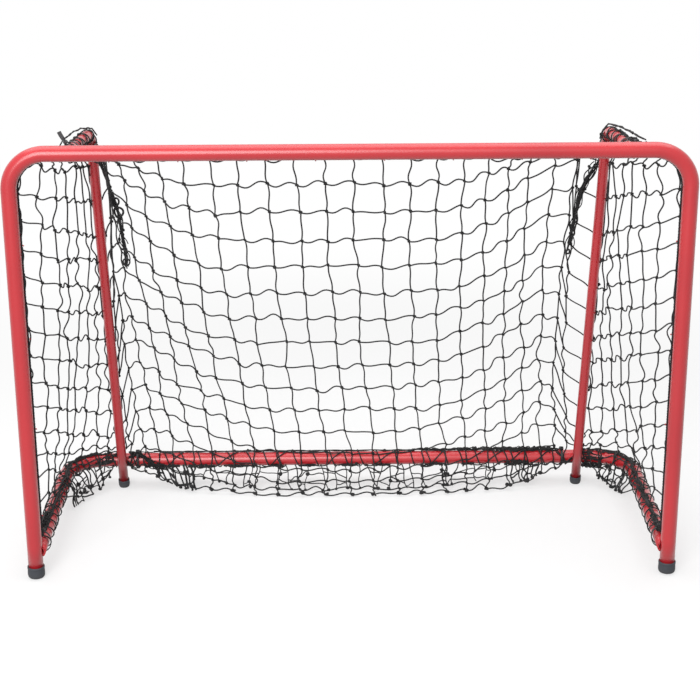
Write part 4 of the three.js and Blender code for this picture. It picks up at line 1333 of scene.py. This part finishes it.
def lacing(first_run, last_run, pitch, way=1):
    """A cord wound unevenly round the base tube between two runs. way -1 winds it back."""
    runs = np.arange(first_run, last_run, pitch / LACE_STEPS)
    uneven = 1 + 0.45 * smooth_noise(runs, (0.05, 0.2))
    turns = 90 + way * 360 * np.cumsum(uneven * (runs[1] - runs[0]) / pitch)
    reach = WRAP_RADIUS + 0.0008 * smooth_noise(runs, (0.01, 0.03))
    return round_base(runs + 0.003 * smooth_noise(runs, (0.02, 0.06)), turns, reach)


# %% The three lacings
# Every side has one cord wound closely and one that crosses it with a long pitch.
LEG_RUN = MIDDLE_RUN - LEG_X
laces = {
    "left": [lacing(0.035, LEG_RUN - 0.014, 0.034), lacing(0.05, LEG_RUN - 0.016, 0.120, -1)],
    "rear": [lacing(LEG_RUN + 0.016, BASE_LENGTH - LEG_RUN - 0.016, 0.034),
             lacing(LEG_RUN + 0.016, BASE_LENGTH - LEG_RUN - 0.016, 0.110, -1)],
    "right": [lacing(BASE_LENGTH - LEG_RUN + 0.014, BASE_LENGTH - 0.035, 0.036),
              lacing(BASE_LENGTH - LEG_RUN + 0.016, BASE_LENGTH - 0.05, 0.110, -1)],
}
for label, node_name in (("left", "left_lacing"), ("rear", "back_lacing"), ("right", "right_lacing")):
    parts = [ring_sweep(line, LACE_RADIUS, CORD_SIDES) for line in laces[label]]
    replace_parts(make_cords(f"{label}_lacing_cord", parts, net_twine), node_name)
    print(label, "lacing", round(sum(line_length(line) for line in laces[label]), 2), "m")

# %% [markdown]
# ## Bunched netting
#
# The net is wider and taller than the frame it covers. What is spare is bunched by hand
# against the base tube, at the arms and beside the legs, and in the photograph those places
# are nearly solid black. A bunch is made of many thin cords that share one path. Each
# wanders round it by its own slow waves, starts and stops at its own place, and is pushed
# off the tubes like the net's cords. A few tight knots sit among them.
#
# Below the rear bar and inside the corners of the base frame the netting hangs doubled,
# as if its edge was folded back before it was laced. More cords, cross links and lumps of
# knots fill the gap between the tube and the loose edge there. On the floor each column
# ends in a fat knot, and a short end of cord is left on it.


# %% Bunches
BUNCH_CORD = 0.0012        # the radius of a bunch's cords
BUNCH_SIDES = 5


def bunch(path, thickness, count, step=0.004, lengths=(0.014, 0.06), knotted=0.0, least=0.45):
    """Cords that wander along a path.

    thickness is one value or one for each path point, and lengths are those of the waves.
    Each cord covers a share of the path between least and all of it. knotted is the share
    of its points that get a knot.
    """
    path = np.asarray(path, float)
    line, travelled = resample(path, step)
    width = np.interp(travelled, distances(path), np.broadcast_to(thickness, len(path)))
    _, across, over = carried_frames(line)
    parts = []
    for _ in range(count):
        share = chance.uniform(least, 1)
        first = int(chance.uniform(0, 1 - share) * len(line))
        last = max(first + int(share * len(line)), first + 3)
        aside = across * (width * smooth_noise(travelled, lengths))[:, None]
        above = over * (width * smooth_noise(travelled, lengths))[:, None]
        cord = push_off_tubes((line + aside + above)[first:last].copy(), BUNCH_CORD)
        if len(cord) > 2:
            parts.append(ring_sweep(cord, BUNCH_CORD * chance.uniform(0.8, 1.15), BUNCH_SIDES))
            for place in cord[chance.random(len(cord)) < knotted]:
                parts.append(turned_knot(place, chance.uniform(0.8, 1.2)))
    return parts


# %% Paths for the bunches
PATH_STEP = 0.01           # about how far apart the points of a path lie
PATH_OFF = 0.0025          # how far a path lies off the base tube


def at_front(*points):
    """Points whose middle number is counted back from the front frame's plane."""
    return [np.array((x, FRONT_Y + y, z)) for x, y, z in points]


def along_base(first, last, turn, off=PATH_OFF):
    """A path off the base tube's surface between two runs, at one turn round it."""
    runs = np.linspace(first, last, max(int(abs(last - first) / PATH_STEP), 2) + 1)
    return round_base(runs, np.full(len(runs), float(turn)), FRAME_RADIUS + off)


def bar_run(x):
    """The run along the base tube at a place on the rear bar."""
    return MIDDLE_RUN + x


def along_bar(low, high, turn, off=PATH_OFF):
    """A path along the rear bar, from x low to x high."""
    return along_base(bar_run(low), bar_run(high), turn, off)


def path_points(path, shares):
    """Points at given shares of a path's length."""
    path = np.asarray(path, float)
    marks = distances(path)
    return between_rows(shares * marks[-1], marks, path)


# %% Doubled netting
LACE_SLACK, LACE_WAVE = 1.10, 0.006    # a hanging cord: length for its gap, highest wave
LINK_SLACK, LINK_WAVE = 1.12, 0.005    # the same for a link between two of them
LACE_END_KNOTS = 0.6                   # the share of hanging cords that end in a knot
LACE_MISSING = 0.30                    # the share of links left out
TOP_UNEVEN, END_UNEVEN = 0.3, 0.4      # how unevenly hanging cords are spread, for their gap
LINK_UNEVEN = 0.10                     # how far a link's ends stray, as a share of the height
KNOTS_IN_LUMP = 3


def lace(upper, lower, down_count, across_count, thick=(0.8, 1.1), lumps=0.2):
    """Doubled netting between an edge on a tube and a loose edge: uneven cords and lumps.

    thick is the range of the cords' thickness and lumps the chance of a lump of knots.
    """
    shares = np.sort(np.clip(np.linspace(0, 1, down_count)
                             + chance.normal(0, TOP_UNEVEN / down_count, down_count), 0, 1))
    strayed = shares + chance.normal(0, END_UNEVEN / down_count, down_count)
    tops, ends = path_points(upper, shares), path_points(lower, np.clip(strayed, 0, 1))
    parts, crossings = [], []
    for top, end in zip(tops, ends):
        gap = float(np.linalg.norm(end - top))
        cord = slack_cord(top, end, LACE_SLACK * gap, np.array((1.0, 0.0, 0.0)), LACE_WAVE)
        crossings.append(cord)
        cord = push_off_tubes(cord.copy(), BUNCH_CORD)
        parts.append(ring_sweep(cord, BUNCH_CORD * chance.uniform(*thick), BUNCH_SIDES))
        if chance.random() < LACE_END_KNOTS:
            parts.append(turned_knot(cord[-1], chance.uniform(0.9, 1.3)))
    for level in range(across_count):
        height = (level + 1) / (across_count + 0.4)
        for left, right in zip(crossings[:-1], crossings[1:]):
            if chance.random() < LACE_MISSING:
                continue
            start, end = (cord[int(np.clip(
                round(CORD_STEPS * (height + chance.normal(0, LINK_UNEVEN))), 1, CORD_STEPS))]
                for cord in (left, right))
            gap = float(np.linalg.norm(end - start))
            cord = slack_cord(start, end, LINK_SLACK * gap, DOWN, LINK_WAVE)
            cord = push_off_tubes(cord, BUNCH_CORD)
            parts.append(ring_sweep(cord, BUNCH_CORD * chance.uniform(*thick), BUNCH_SIDES))
            if chance.random() < lumps:
                parts += [turned_knot(start + chance.normal(0, 0.0012, 3), chance.uniform(0.9, 1.4))
                          for _ in range(KNOTS_IN_LUMP)]
    return parts


# %% Bunches along the rear bar
# Cords on top of the bar: a few all along it, more towards the right leg.
parts = bunch(along_bar(-0.452, 0.452, 84), thickness=0.0016, count=3, lengths=(0.03, 0.09),
              knotted=0.02, least=0.7)
parts += bunch(along_bar(0.130, 0.452, 88, 0.004), thickness=0.0042, count=7, knotted=0.05)
parts += bunch(along_bar(0.300, 0.450, 100, 0.004), thickness=0.0055, count=7, knotted=0.06)

# Lumps below the bar, as (from x, to x, cords).
LUMPS_BELOW = ((-0.335, -0.275, 7), (-0.262, -0.196, 9), (-0.168, -0.132, 7),
               (-0.104, -0.066, 7), (-0.024, 0.030, 7), (0.046, 0.088, 8),
               (0.148, 0.196, 7), (0.232, 0.262, 8), (0.324, 0.352, 10))
for low, high, count in LUMPS_BELOW:
    parts += bunch(along_bar(low, high, 212, 0.0035), thickness=0.0034, count=count,
                   knotted=0.03, least=0.6)

# The tie beside the left leg, the netting that leads down from it and what hangs there.
leading_down = round_base(bar_run(np.linspace(-0.442, -0.395, 8)), np.linspace(105, 215, 8),
                          FRAME_RADIUS + 0.004)
thin_out = (0.007,) * 4 + (0.004,) * 5
parts += bunch(along_bar(-0.456, -0.424, 120, 0.004), thickness=0.007, count=14, knotted=0.05)
parts += bunch(leading_down, thickness=0.0050, count=11, knotted=0.04, least=0.6)
parts += bunch(along_bar(-0.425, -0.345, 205, 0.005), thickness=thin_out, count=12, knotted=0.05)
parts += lace(along_bar(-0.410, -0.330, 200),
              at_front((-0.378, 0.398, 0.016), (-0.356, 0.388, 0.006), (-0.318, 0.376, 0.004)),
              down_count=8, across_count=2, thick=(1.0, 1.9), lumps=0.35)

# The netting inside the right leg.
parts += bunch(along_bar(0.335, 0.375, 195, 0.004), thickness=0.0060, count=9, knotted=0.06)
parts += lace(along_bar(0.335, 0.395, 200),
              at_front((0.335, 0.392, 0.010), (0.362, 0.396, 0.012), (0.398, 0.400, 0.022)),
              down_count=6, across_count=1, thick=(0.9, 1.6), lumps=0.3)

# The doubled edge between the bar and the last row but one, all along.
FLOOR_COLUMNS = range(LEG_COLUMN + 3, COLUMNS - LEG_COLUMN - 2)
edge = np.array([knots[c, ROWS - 1] for c in FLOOR_COLUMNS])
parts += lace(round_base(bar_run(edge[:, 0]), np.full(len(edge), 205.0), FRAME_RADIUS + PATH_OFF),
              edge, down_count=34, across_count=2, thick=(0.85, 1.1), lumps=0.10)

# Fat knots at the ends of the columns on the floor, each with a short stub of cord.
LUMP_SPREAD, LUMP_SHAPE = 0.0016, (1.4, 0.6, 0.3)
STUB_LENGTHS, STUB_POINTS = (0.004, 0.010), 5
for c in FLOOR_COLUMNS:
    place = knots[c, ROWS]
    parts += [turned_knot(place + chance.normal(0, LUMP_SPREAD, 3) * LUMP_SHAPE,
                          chance.uniform(1.0, 1.4)) for _ in range(KNOTS_IN_LUMP)]
    ahead = np.array((chance.normal(0, 0.5), -1.0, 0.0)) * chance.uniform(*STUB_LENGTHS)
    stub = place + ahead * np.linspace(0, 1, STUB_POINTS)[:, None]
    stub[:, 2] = np.maximum(stub[:, 2], 1.3 * BUNCH_CORD)
    parts.append(ring_sweep(stub, BUNCH_CORD * 1.2, BUNCH_SIDES))
make_cords("rear_bunches", parts, net_twine)

# %% Bunches along the side tubes
# The same on both sides, as (first run, last run, turn, thickness, cords).
SIDE_BUNCHES = ((0.045, LEG_RUN - 0.014, 108, 0.0036, 6), (0.050, 0.200, 96, 0.0030, 2),
                (0.160, 0.340, 128, 0.0034, 2), (0.300, LEG_RUN - 0.020, 100, 0.0030, 3),
                (LEG_RUN - 0.070, LEG_RUN - 0.012, 170, 0.0055, 7))
parts = []
for first, last, turn, thickness, count in SIDE_BUNCHES:
    for ends in ((first, last), (BASE_LENGTH - last, BASE_LENGTH - first)):
        parts += bunch(along_base(*ends, turn), thickness, count, knotted=0.03, least=0.3)

# Thick bunches near each post, and one under the right leg.
RIGHT_LEG_RUN = BASE_LENGTH - LEG_RUN
below_right_leg = along_base(RIGHT_LEG_RUN + 0.014, RIGHT_LEG_RUN + 0.062, 222, 0.006)
parts += bunch(along_base(0.072, 0.130, 84, 0.006), thickness=0.0080, count=15, knotted=0.08)
parts += bunch(along_base(BASE_LENGTH - 0.080, BASE_LENGTH - 0.022, 105, 0.006),
               thickness=0.0085, count=16, knotted=0.08)
parts += bunch(below_right_leg, thickness=(0.008,) * 3 + (0.004,) * 2, count=14, knotted=0.06)

# Doubled netting inside the left corner, then inside the right one.
parts += lace(along_base(0.300, LEG_RUN - 0.020, 195),
              at_front((-0.560, 0.292, 0.004), (-0.540, 0.330, 0.004), (-0.515, 0.366, 0.012),
                       (-0.494, 0.398, 0.030)),
              down_count=9, across_count=3, thick=(0.8, 1.5), lumps=0.30)
parts += bunch(at_front((-0.552, 0.338, 0.022), (-0.534, 0.350, 0.014)),
               thickness=0.007, count=7, knotted=0.12)
parts += lace(along_base(RIGHT_LEG_RUN + 0.045, BASE_LENGTH - 0.335, 195),
              at_front((0.512, 0.392, 0.020), (0.536, 0.372, 0.006), (0.562, 0.338, 0.004)),
              down_count=7, across_count=2, thick=(0.9, 1.5), lumps=0.20)
parts += bunch(at_front((0.514, 0.392, 0.024), (0.536, 0.374, 0.012), (0.556, 0.346, 0.008)),
               thickness=0.0022, count=3, knotted=0.05)
make_cords("side_bunches", parts, net_twine)

# %% [markdown]
# ## Bundles inside the legs
#
# Below each arm several columns of the net are drawn together and tied in a row of round
# knots, so that the back stays tight. On the left the rings of those knots are easy to see,
# and on the right the strands make one thick black cord. Where they start, at the arm's
# bend, they are wound a few times round the leg.

# %% Bundles
RING_STEPS = 24            # points in a round knot's loop
WRAPS, WRAP_POINTS = 5, 90             # turns of cord round the leg
WRAP_START, WRAP_STEP, WRAP_STEPS = 0.222, 0.002, 8      # where they lie along the leg
WRAP_OFF = 0.0016
RING_BACK = 0.238          # how far behind the front frame the round knots hang


def ring_knots(rows):
    """Round loops of cord that face the goal's mouth, from a table of their sizes."""
    angles = 2 * np.pi * np.arange(RING_STEPS) / RING_STEPS
    shape = np.stack([np.cos(angles), 0.25 * np.sin(2 * angles + 1), np.sin(angles)], 1)
    knots_made = []
    for x, z, radius, cord, tilt in rows:
        spin = np.array(Matrix.Rotation(tilt, 3, Vector((0.3, 0.2, 1.0)).normalized()))
        vertices, faces, marks = closed_ring_sweep(radius * shape + 1e-9, cord, CORD_SIDES)
        place = at_front((x, RING_BACK, z))[0]
        knots_made.append((vertices @ spin.T + place, faces, marks))
    return knots_made


left_path = at_front((-0.474, 0.222, 0.762), (-0.461, 0.238, 0.728), (-0.447, 0.240, 0.692),
                     (-0.438, 0.240, 0.656), (-0.431, 0.240, 0.624), (-0.424, 0.240, 0.580),
                     (-0.421, 0.242, 0.519))
LEFT_THICKNESS = (0.0055, 0.0040, 0.0030, 0.0026, 0.0024, 0.0020, 0.0022)
RIGHT_THICKNESS = (0.0075, 0.0100, 0.0085, 0.0040, 0.0030, 0.0030, 0.0034)

# The round knots, as (x, height, loop's radius, cord's radius, tilt in radians).
LEFT_RINGS = ((-0.437, 0.654, 0.0080, 0.0019, 0.2), (-0.431, 0.634, 0.0094, 0.0021, -0.4),
              (-0.4235, 0.560, 0.0054, 0.0015, 0.5), (-0.421, 0.537, 0.0066, 0.0016, -0.2))
RIGHT_RINGS = ((0.419, 0.588, 0.0050, 0.0018, 0.4), (0.412, 0.552, 0.0040, 0.0018, 0.4))

parts = bunch(left_path, LEFT_THICKNESS, count=7, lengths=(0.03, 0.12), knotted=0.03, least=0.7)
parts += ring_knots(LEFT_RINGS)
right_path = at_front((0.474, 0.222, 0.764), (0.462, 0.238, 0.724), (0.446, 0.240, 0.694),
                      (0.432, 0.240, 0.664), (0.422, 0.240, 0.622), (0.417, 0.240, 0.583),
                      (0.409, 0.244, 0.535))
parts += bunch(right_path, RIGHT_THICKNESS, count=9, lengths=(0.05, 0.16), knotted=0.03, least=0.7)
parts += bunch(right_path[2:5], thickness=(0.0040, 0.0042, 0.0030), count=10, knotted=0.05)
parts += bunch(right_path[:2], thickness=(0.0070, 0.0045), count=9, knotted=0.05)
for path, thickness, count in ((right_path[1:], 0.0090, 5), (left_path[1:], 0.0075, 4)):
    parts += bunch(path, thickness, count, lengths=(0.05, 0.16), knotted=0.02, least=0.5)
parts += ring_knots(RIGHT_RINGS)
for name, side in SIDES:
    turns = np.linspace(0, WRAPS * 2 * np.pi, WRAP_POINTS)
    middle = resample(leg_lines[name], WRAP_STEP)[0]
    start = int(WRAP_START / WRAP_STEP)
    spine = middle[start + np.round(WRAP_STEPS * turns / turns[-1]).astype(int)]
    wrap = spine + (LEG_RADIUS + WRAP_OFF) * np.stack(
        [np.cos(turns), 0.95 * np.sin(turns), 0.35 * np.sin(turns)], 1)
    parts.append(ring_sweep(wrap, CORD_RADIUS, CORD_SIDES))
make_cords("leg_bundles", parts, net_twine)

# %% [markdown]
# ### The arms
#
# The net's corner is lashed to each arm, so both are half hidden under dark cord, and only
# the top of each bend shows red. On the right a doubled cord is stretched from the bend
# to the crossbar like a guy line.

# %% Lashings round the arms
LASH_STEP, LASH_FINER = 0.0025, 5      # an arm's steps, and how many points each is cut into
LASH_START, LASH_PAST_BEND = 0.024, 0.012
LASH_PITCHES = ((0.036, 1), (0.050, -1))     # each with the way that it is wound
parts = []
for name, side in SIDES:
    arm, run = resample(leg_lines[name], LASH_STEP)
    arm = arm[(run > LASH_START) & (run < LEG_TOP_REACH + LASH_PAST_BEND)]
    travelled = LASH_STEP * np.arange(len(arm))
    _, across, over = carried_frames(arm)
    fine, whole = np.linspace(0, len(arm) - 1, LASH_FINER * len(arm)), np.arange(len(arm))
    for pitch, way in LASH_PITCHES:
        angle = 2 * np.pi * way * np.cumsum(
            LASH_STEP / pitch * (1 + 0.6 * smooth_noise(travelled, (0.03, 0.1))))
        reach = LEG_RADIUS + WRAP_OFF + 0.0006 * smooth_noise(travelled, (0.01, 0.03))
        turn, far = np.interp(fine, whole, angle), np.interp(fine, whole, reach)
        out = (between_rows(fine, whole, across) * np.cos(turn)[:, None]
               + between_rows(fine, whole, over) * np.sin(turn)[:, None])
        lash = between_rows(fine, whole, arm) + far[:, None] * out
        parts.append(ring_sweep(lash, BUNCH_CORD, BUNCH_SIDES))
    low_side = arm + np.array((side * 0.0070, 0.0, -0.0050))
    inner_side = arm[: len(arm) // 2] + np.array((-side * 0.008, 0.0, -0.006))
    parts += bunch(low_side, thickness=0.0050, count=14, lengths=(0.014, 0.05),
                   knotted=0.06, least=0.35)
    parts += bunch(inner_side, thickness=0.0035, count=5, knotted=0.04, least=0.4)

# Two cords that arch over the left arm, the guy line over the right one, and the netting
# gathered under it.
arc = at_front((-0.500, 0.040, 0.806), (-0.491, 0.055, 0.817), (-0.483, 0.085, 0.820),
               (-0.477, 0.150, 0.8125), (-0.464, 0.188, 0.804), (-0.456, 0.194, 0.786))
parts += bunch(arc, thickness=0.0014, count=2, least=0.95)
guy = at_front((0.457, 0.202, 0.776), (0.462, 0.203, 0.792), (0.471, 0.203, 0.8035),
               (0.482, 0.120, 0.8150), (0.500, 0.034, 0.8160), (0.512, 0.017, 0.8110))
parts += bunch(guy, thickness=0.0011, count=4, lengths=(0.03, 0.1), knotted=0.02, least=0.9)
parts += bunch(at_front((0.470, 0.196, 0.795), (0.487, 0.120, 0.800), (0.503, 0.040, 0.800)),
               thickness=0.0075, count=7, lengths=(0.03, 0.08), knotted=0.05)
parts += bunch(at_front((0.508, 0.022, 0.806), (0.520, 0.018, 0.802)),
               thickness=0.0035, count=7, knotted=0.15)
make_cords("arm_lashings", parts, net_twine)

# %% [markdown]
# ## Cable ties
#
# A cable tie is a toothed nylon strap that is drawn through a head, where a pawl locks it.
# Six hold the bunches: one on each arm, one behind each post and one beside each leg. All
# tails are cut short but the left arm's. That tie is a wider one, and its tail still sticks
# up with its flat side turned to the front. The strap is a flat section with rounded
# edges, swept round the tube.


# %% Straps and heads
def strap_sweep(line, width_ways, width, thickness, closed=False):
    """A flat strap swept along a line. width_ways point across its width."""
    along = loop_ways(line) if closed else unit_rows(np.gradient(line, axis=0))
    wide = unit_rows(width_ways - along * (width_ways * along).sum(1, keepdims=True))
    thick = np.cross(along, wide)
    section = np.array([(0.5, 0.2), (0.42, 0.5), (-0.42, 0.5), (-0.5, 0.2),
                        (-0.5, -0.2), (-0.42, -0.5), (0.42, -0.5), (0.5, -0.2)])
    rings = (line[:, None] + width * section[None, :, :1] * wide[:, None]
             + thickness * section[None, :, 1:] * thick[:, None])
    sides, count = len(section), len(line)
    faces = ring_faces(count, sides, closed)
    if not closed:
        faces += end_faces(count, sides)
    return rings.reshape(-1, 3), faces, np.zeros((sides * count, 2))


def rounded_block(size, rounding, place, ways):
    """A box with rounded edges. ways are the directions of its three sides."""
    block = bmesh.new()
    bmesh.ops.create_cube(block, size=1.0)
    for vertex in block.verts:
        vertex.co = Vector([c * s for c, s in zip(vertex.co, size)])
    bmesh.ops.bevel(block, geom=block.edges[:], offset=rounding, segments=2, profile=0.5,
                    affect="EDGES")
    vertices = np.array([tuple(v.co) for v in block.verts]) @ np.array(ways) + place
    faces = [tuple(v.index for v in face.verts) for face in block.faces]
    block.free()
    return vertices, faces, np.zeros((len(vertices), 2))


# %% A whole cable tie
STRAP_WIDE, STRAP_THICK = 0.0048, 0.0013
STRAP_POINTS = 48          # points round a strap's loop
HEAD_WIDER, HEAD_LONG, HEAD_HIGH, HEAD_ROUNDING = 0.0030, 0.0064, 0.0056, 0.0011
HEAD_OUT = 0.0026          # from the strap to the head's middle
TAIL_POINTS, TAIL_LEAN = 9, 0.12


def cable_tie(name, centre, axis, radius, head_turn, tail, twist=0.0, lift=0.0, wide=STRAP_WIDE):
    """A strap round a tube, its head and its tail.

    head_turn is degrees: 0 is straight up, positive to the right. twist is how far the tail
    is turned, in degrees too. lift is how much further out the strap runs under its head.
    """
    axis = unit(np.asarray(axis, float))
    up = unit(UP - axis * float(UP @ axis))
    right = np.cross(axis, up)
    if right[0] < 0:
        right = -right
    turn = math.radians(head_turn)
    angles = np.linspace(0, 2 * np.pi, STRAP_POINTS + 1)[:-1]
    reach = radius + lift * np.maximum(np.cos(angles - turn), 0) ** 2
    loop = centre + reach[:, None] * (up * np.cos(angles)[:, None] + right * np.sin(angles)[:, None])
    parts = [strap_sweep(loop, np.tile(axis, (STRAP_POINTS, 1)), wide, STRAP_THICK, closed=True)]
    out = up * math.cos(turn) + right * math.sin(turn)
    ahead = np.cross(axis, out)
    head = centre + out * (radius + lift + HEAD_OUT)
    parts.append(rounded_block((wide + HEAD_WIDER, HEAD_LONG, HEAD_HIGH), HEAD_ROUNDING, head,
                               (axis, ahead, out)))
    share = np.linspace(0, 1, TAIL_POINTS)
    line = head + out * (tail * share)[:, None] + ahead * (TAIL_LEAN * tail * share ** 2)[:, None]
    spin = np.radians(twist) * np.minimum(share * 2.5, 1)
    ways = axis * np.cos(spin)[:, None] + ahead * np.sin(spin)[:, None]
    parts.append(strap_sweep(line, ways, wide, STRAP_THICK))
    tie = join_parts(parts)
    piece = make_piece(name.replace("tie", "cable_tie"), *tie[:2], nylon, "black_nylon",
                       smooth=False)
    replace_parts(piece, name)
    return piece


# %% The six ties
TIE_OFF = 0.0040           # a strap lies this far off its tube, over the cords that it holds
SHORT_TAIL = 0.005
ARM_TIES = {"left": {"head_turn": -38, "tail": 0.021, "twist": 72, "wide": 0.0072},
            "right": {"head_turn": 60, "tail": 0.006}}
ARM_TIE_RUN = 0.039                    # along the arm, from the crossbar
TIE_RUNS = np.array([0.036, LEG_RUN + 0.030])    # along the base tube: front and rear

for name, side in SIDES:
    arm = leg_lines[name]
    place = along_line(arm, ARM_TIE_RUN)
    cable_tie(f"{name}_arm_tie", place, along_line(arm, ARM_TIE_RUN + 0.006) - place,
              LEG_RADIUS + TIE_OFF, **ARM_TIES[name])
    points, inward = base_points(TIE_RUNS if name == "left" else BASE_LENGTH - TIE_RUNS)
    cable_tie(f"{name}_front_tie", points[0], np.cross(UP, inward[0]), FRAME_RADIUS + TIE_OFF,
              head_turn=-side * 12, tail=SHORT_TAIL, lift=0.006)
    cable_tie(f"{name}_rear_tie", points[1], (1, 0, 0), FRAME_RADIUS + TIE_OFF,
              head_turn=24, tail=SHORT_TAIL, lift=0.004)
print("cable ties", 3 * len(SIDES))

# %% [markdown]
# ## Rubber feet
#
# Each tube's lower end is pushed into a moulded cap. The front caps stand upright. The rear
# ones lean with the legs and are cut level at the floor. Both are turned profiles: a list
# of radii and heights spun round the tube's axis, with a rounded foot and a soft lip where
# the tube goes in.


# %% Turned caps
# Each profile is a row of (radius, height) pairs, from the sole up and over the lip.
CAP_SIDES = 48
FRONT_CAP = ((0.0098, 0.0), (0.0120, 0.0004), (0.0139, 0.0014), (0.0152, 0.0032),
             (0.0158, 0.0055), (0.0160, 0.0080),
             (0.0159, 0.0110), (0.0156, 0.0165), (0.0157, 0.0180), (0.0160, 0.0190),
             (0.0160, 0.0215), (0.0157, 0.0226), (0.0151, 0.0230), (0.0145, 0.0228),
             (0.0141, 0.0218))
REAR_CAP = ((0.0060, -0.0060), (0.0075, -0.0010), (0.0092, 0.0004), (0.0106, 0.0024),
            (0.0113, 0.0050), (0.0115, 0.0080), (0.0115, 0.0110),
            (0.0112, 0.0142), (0.0114, 0.0152), (0.0115, 0.0165), (0.0113, 0.0178),
            (0.0106, 0.0184), (0.0100, 0.0182), (0.0097, 0.0174))


def turned_cap(name, foot, axis, profile):
    """A profile of (radius, height) pairs spun round an axis and cut level at the floor."""
    axis = unit(axis)
    first = unit(np.cross(axis, (0.0, 1.0, 0.0)))
    second = np.cross(axis, first)
    radii, heights = np.array(profile).T
    points = rings_round(foot + heights[:, None] * axis, radii[:, None, None],
                         first[None], second[None], CAP_SIDES)
    points[:, 2] = np.maximum(points[:, 2], 0.0)
    faces = [tuple(reversed(range(CAP_SIDES)))] + ring_faces(len(profile), CAP_SIDES)
    piece = make_piece(name + "_cap", points, faces, rubber, "black_rubber")
    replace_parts(piece, name)
    return piece


for name, side in SIDES:
    turned_cap(f"{name}_front_foot", np.array((side * POST_X, FRONT_Y, 0.0)), UP, FRONT_CAP)
    lowest = np.array((side * LEG_X, FRONT_Y + LEG_FOOT_REACH, 0.0))
    turned_cap(f"{name}_rear_foot", lowest, leg_lines[name][-2] - leg_lines[name][-1], REAR_CAP)
print("caps: front", FRONT_CAP[-3][1] * 1000, "mm high, rear", REAR_CAP[-3][1] * 1000, "mm")

# %% [markdown]
# ## Hooks for the border rope
#
# The rope is held by small hooks welded behind the crossbar and the posts. Each is a bent
# wire: it leaves the tube beside the rope, goes round the rope's back and stops there,
# so it can hardly be seen from the front.

# %% Wire hooks
WIRE, WIRE_SIDES = 0.0012, 10
HOOK_GAP = 0.0001                      # between the wire and the rope
HOOK_SUNK = 0.0008                     # how deep the wire's root sits in its tube
hook_turns = np.radians(np.linspace(90, -12, 12))
bend = ROPE_RADIUS + WIRE + HOOK_GAP


def node_middle(name):
    """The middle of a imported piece's box."""
    points = np.array([tuple(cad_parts[name].matrix_world @ v.co)
                       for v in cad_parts[name].data.vertices])
    return (points.min(0) + points.max(0)) / 2


hook_names = [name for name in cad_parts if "_hook_" in name]
for node_name in hook_names:
    middle = node_middle(node_name)
    if node_name.startswith("crossbar"):
        axis_point = np.array((middle[0], FRONT_Y, CROSSBAR_Z))
        toward = np.array((0.0, math.cos(ROPE_ANGLE), -math.sin(ROPE_ANGLE)))
        beside = np.array((0.0, math.sin(ROPE_ANGLE), math.cos(ROPE_ANGLE)))
    else:
        side = -1 if middle[0] < 0 else 1
        axis_point = np.array((side * POST_X, FRONT_Y, middle[2]))
        toward = np.array((-side * math.sin(ROPE_ANGLE), math.cos(ROPE_ANGLE), 0.0))
        beside = np.array((side * math.cos(ROPE_ANGLE), math.sin(ROPE_ANGLE), 0.0))
    wire = [axis_point + toward * (FRAME_RADIUS - HOOK_SUNK) + beside * bend]
    wire += [axis_point + toward * (ROPE_SEAT + bend * math.cos(t)) + beside * bend * math.sin(t)
             for t in hook_turns]
    parts = ring_sweep(np.array(wire), WIRE, WIRE_SIDES)
    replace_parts(make_piece(node_name + "_wire", *parts[:2], red_coat, "red_powder_coat"), node_name)
print("hooks", len(hook_names))

# %% [markdown]
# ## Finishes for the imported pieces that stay
#
# The screws, bolts, nuts, spigots and spacers have their right shape already, so they keep
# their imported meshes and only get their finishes. All of them sit behind or inside the
# tubes, where the real ones are hidden too.

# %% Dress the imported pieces
CARRIED = {
    "red_powder_coat": (red_coat, ("spigot",)),
    "zinc_plated": (zinc, ("screw", "bolt", "nut")),
    "black_nylon": (nylon, ("spacer",)),
}
for slot, (material, words) in CARRIED.items():
    dressed = [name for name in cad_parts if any(word in name for word in words)]
    for node_name in dressed:
        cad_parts[node_name].data.materials.clear()
        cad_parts[node_name].data.materials.append(material)
    print(slot, "on", len(dressed), "packed pieces")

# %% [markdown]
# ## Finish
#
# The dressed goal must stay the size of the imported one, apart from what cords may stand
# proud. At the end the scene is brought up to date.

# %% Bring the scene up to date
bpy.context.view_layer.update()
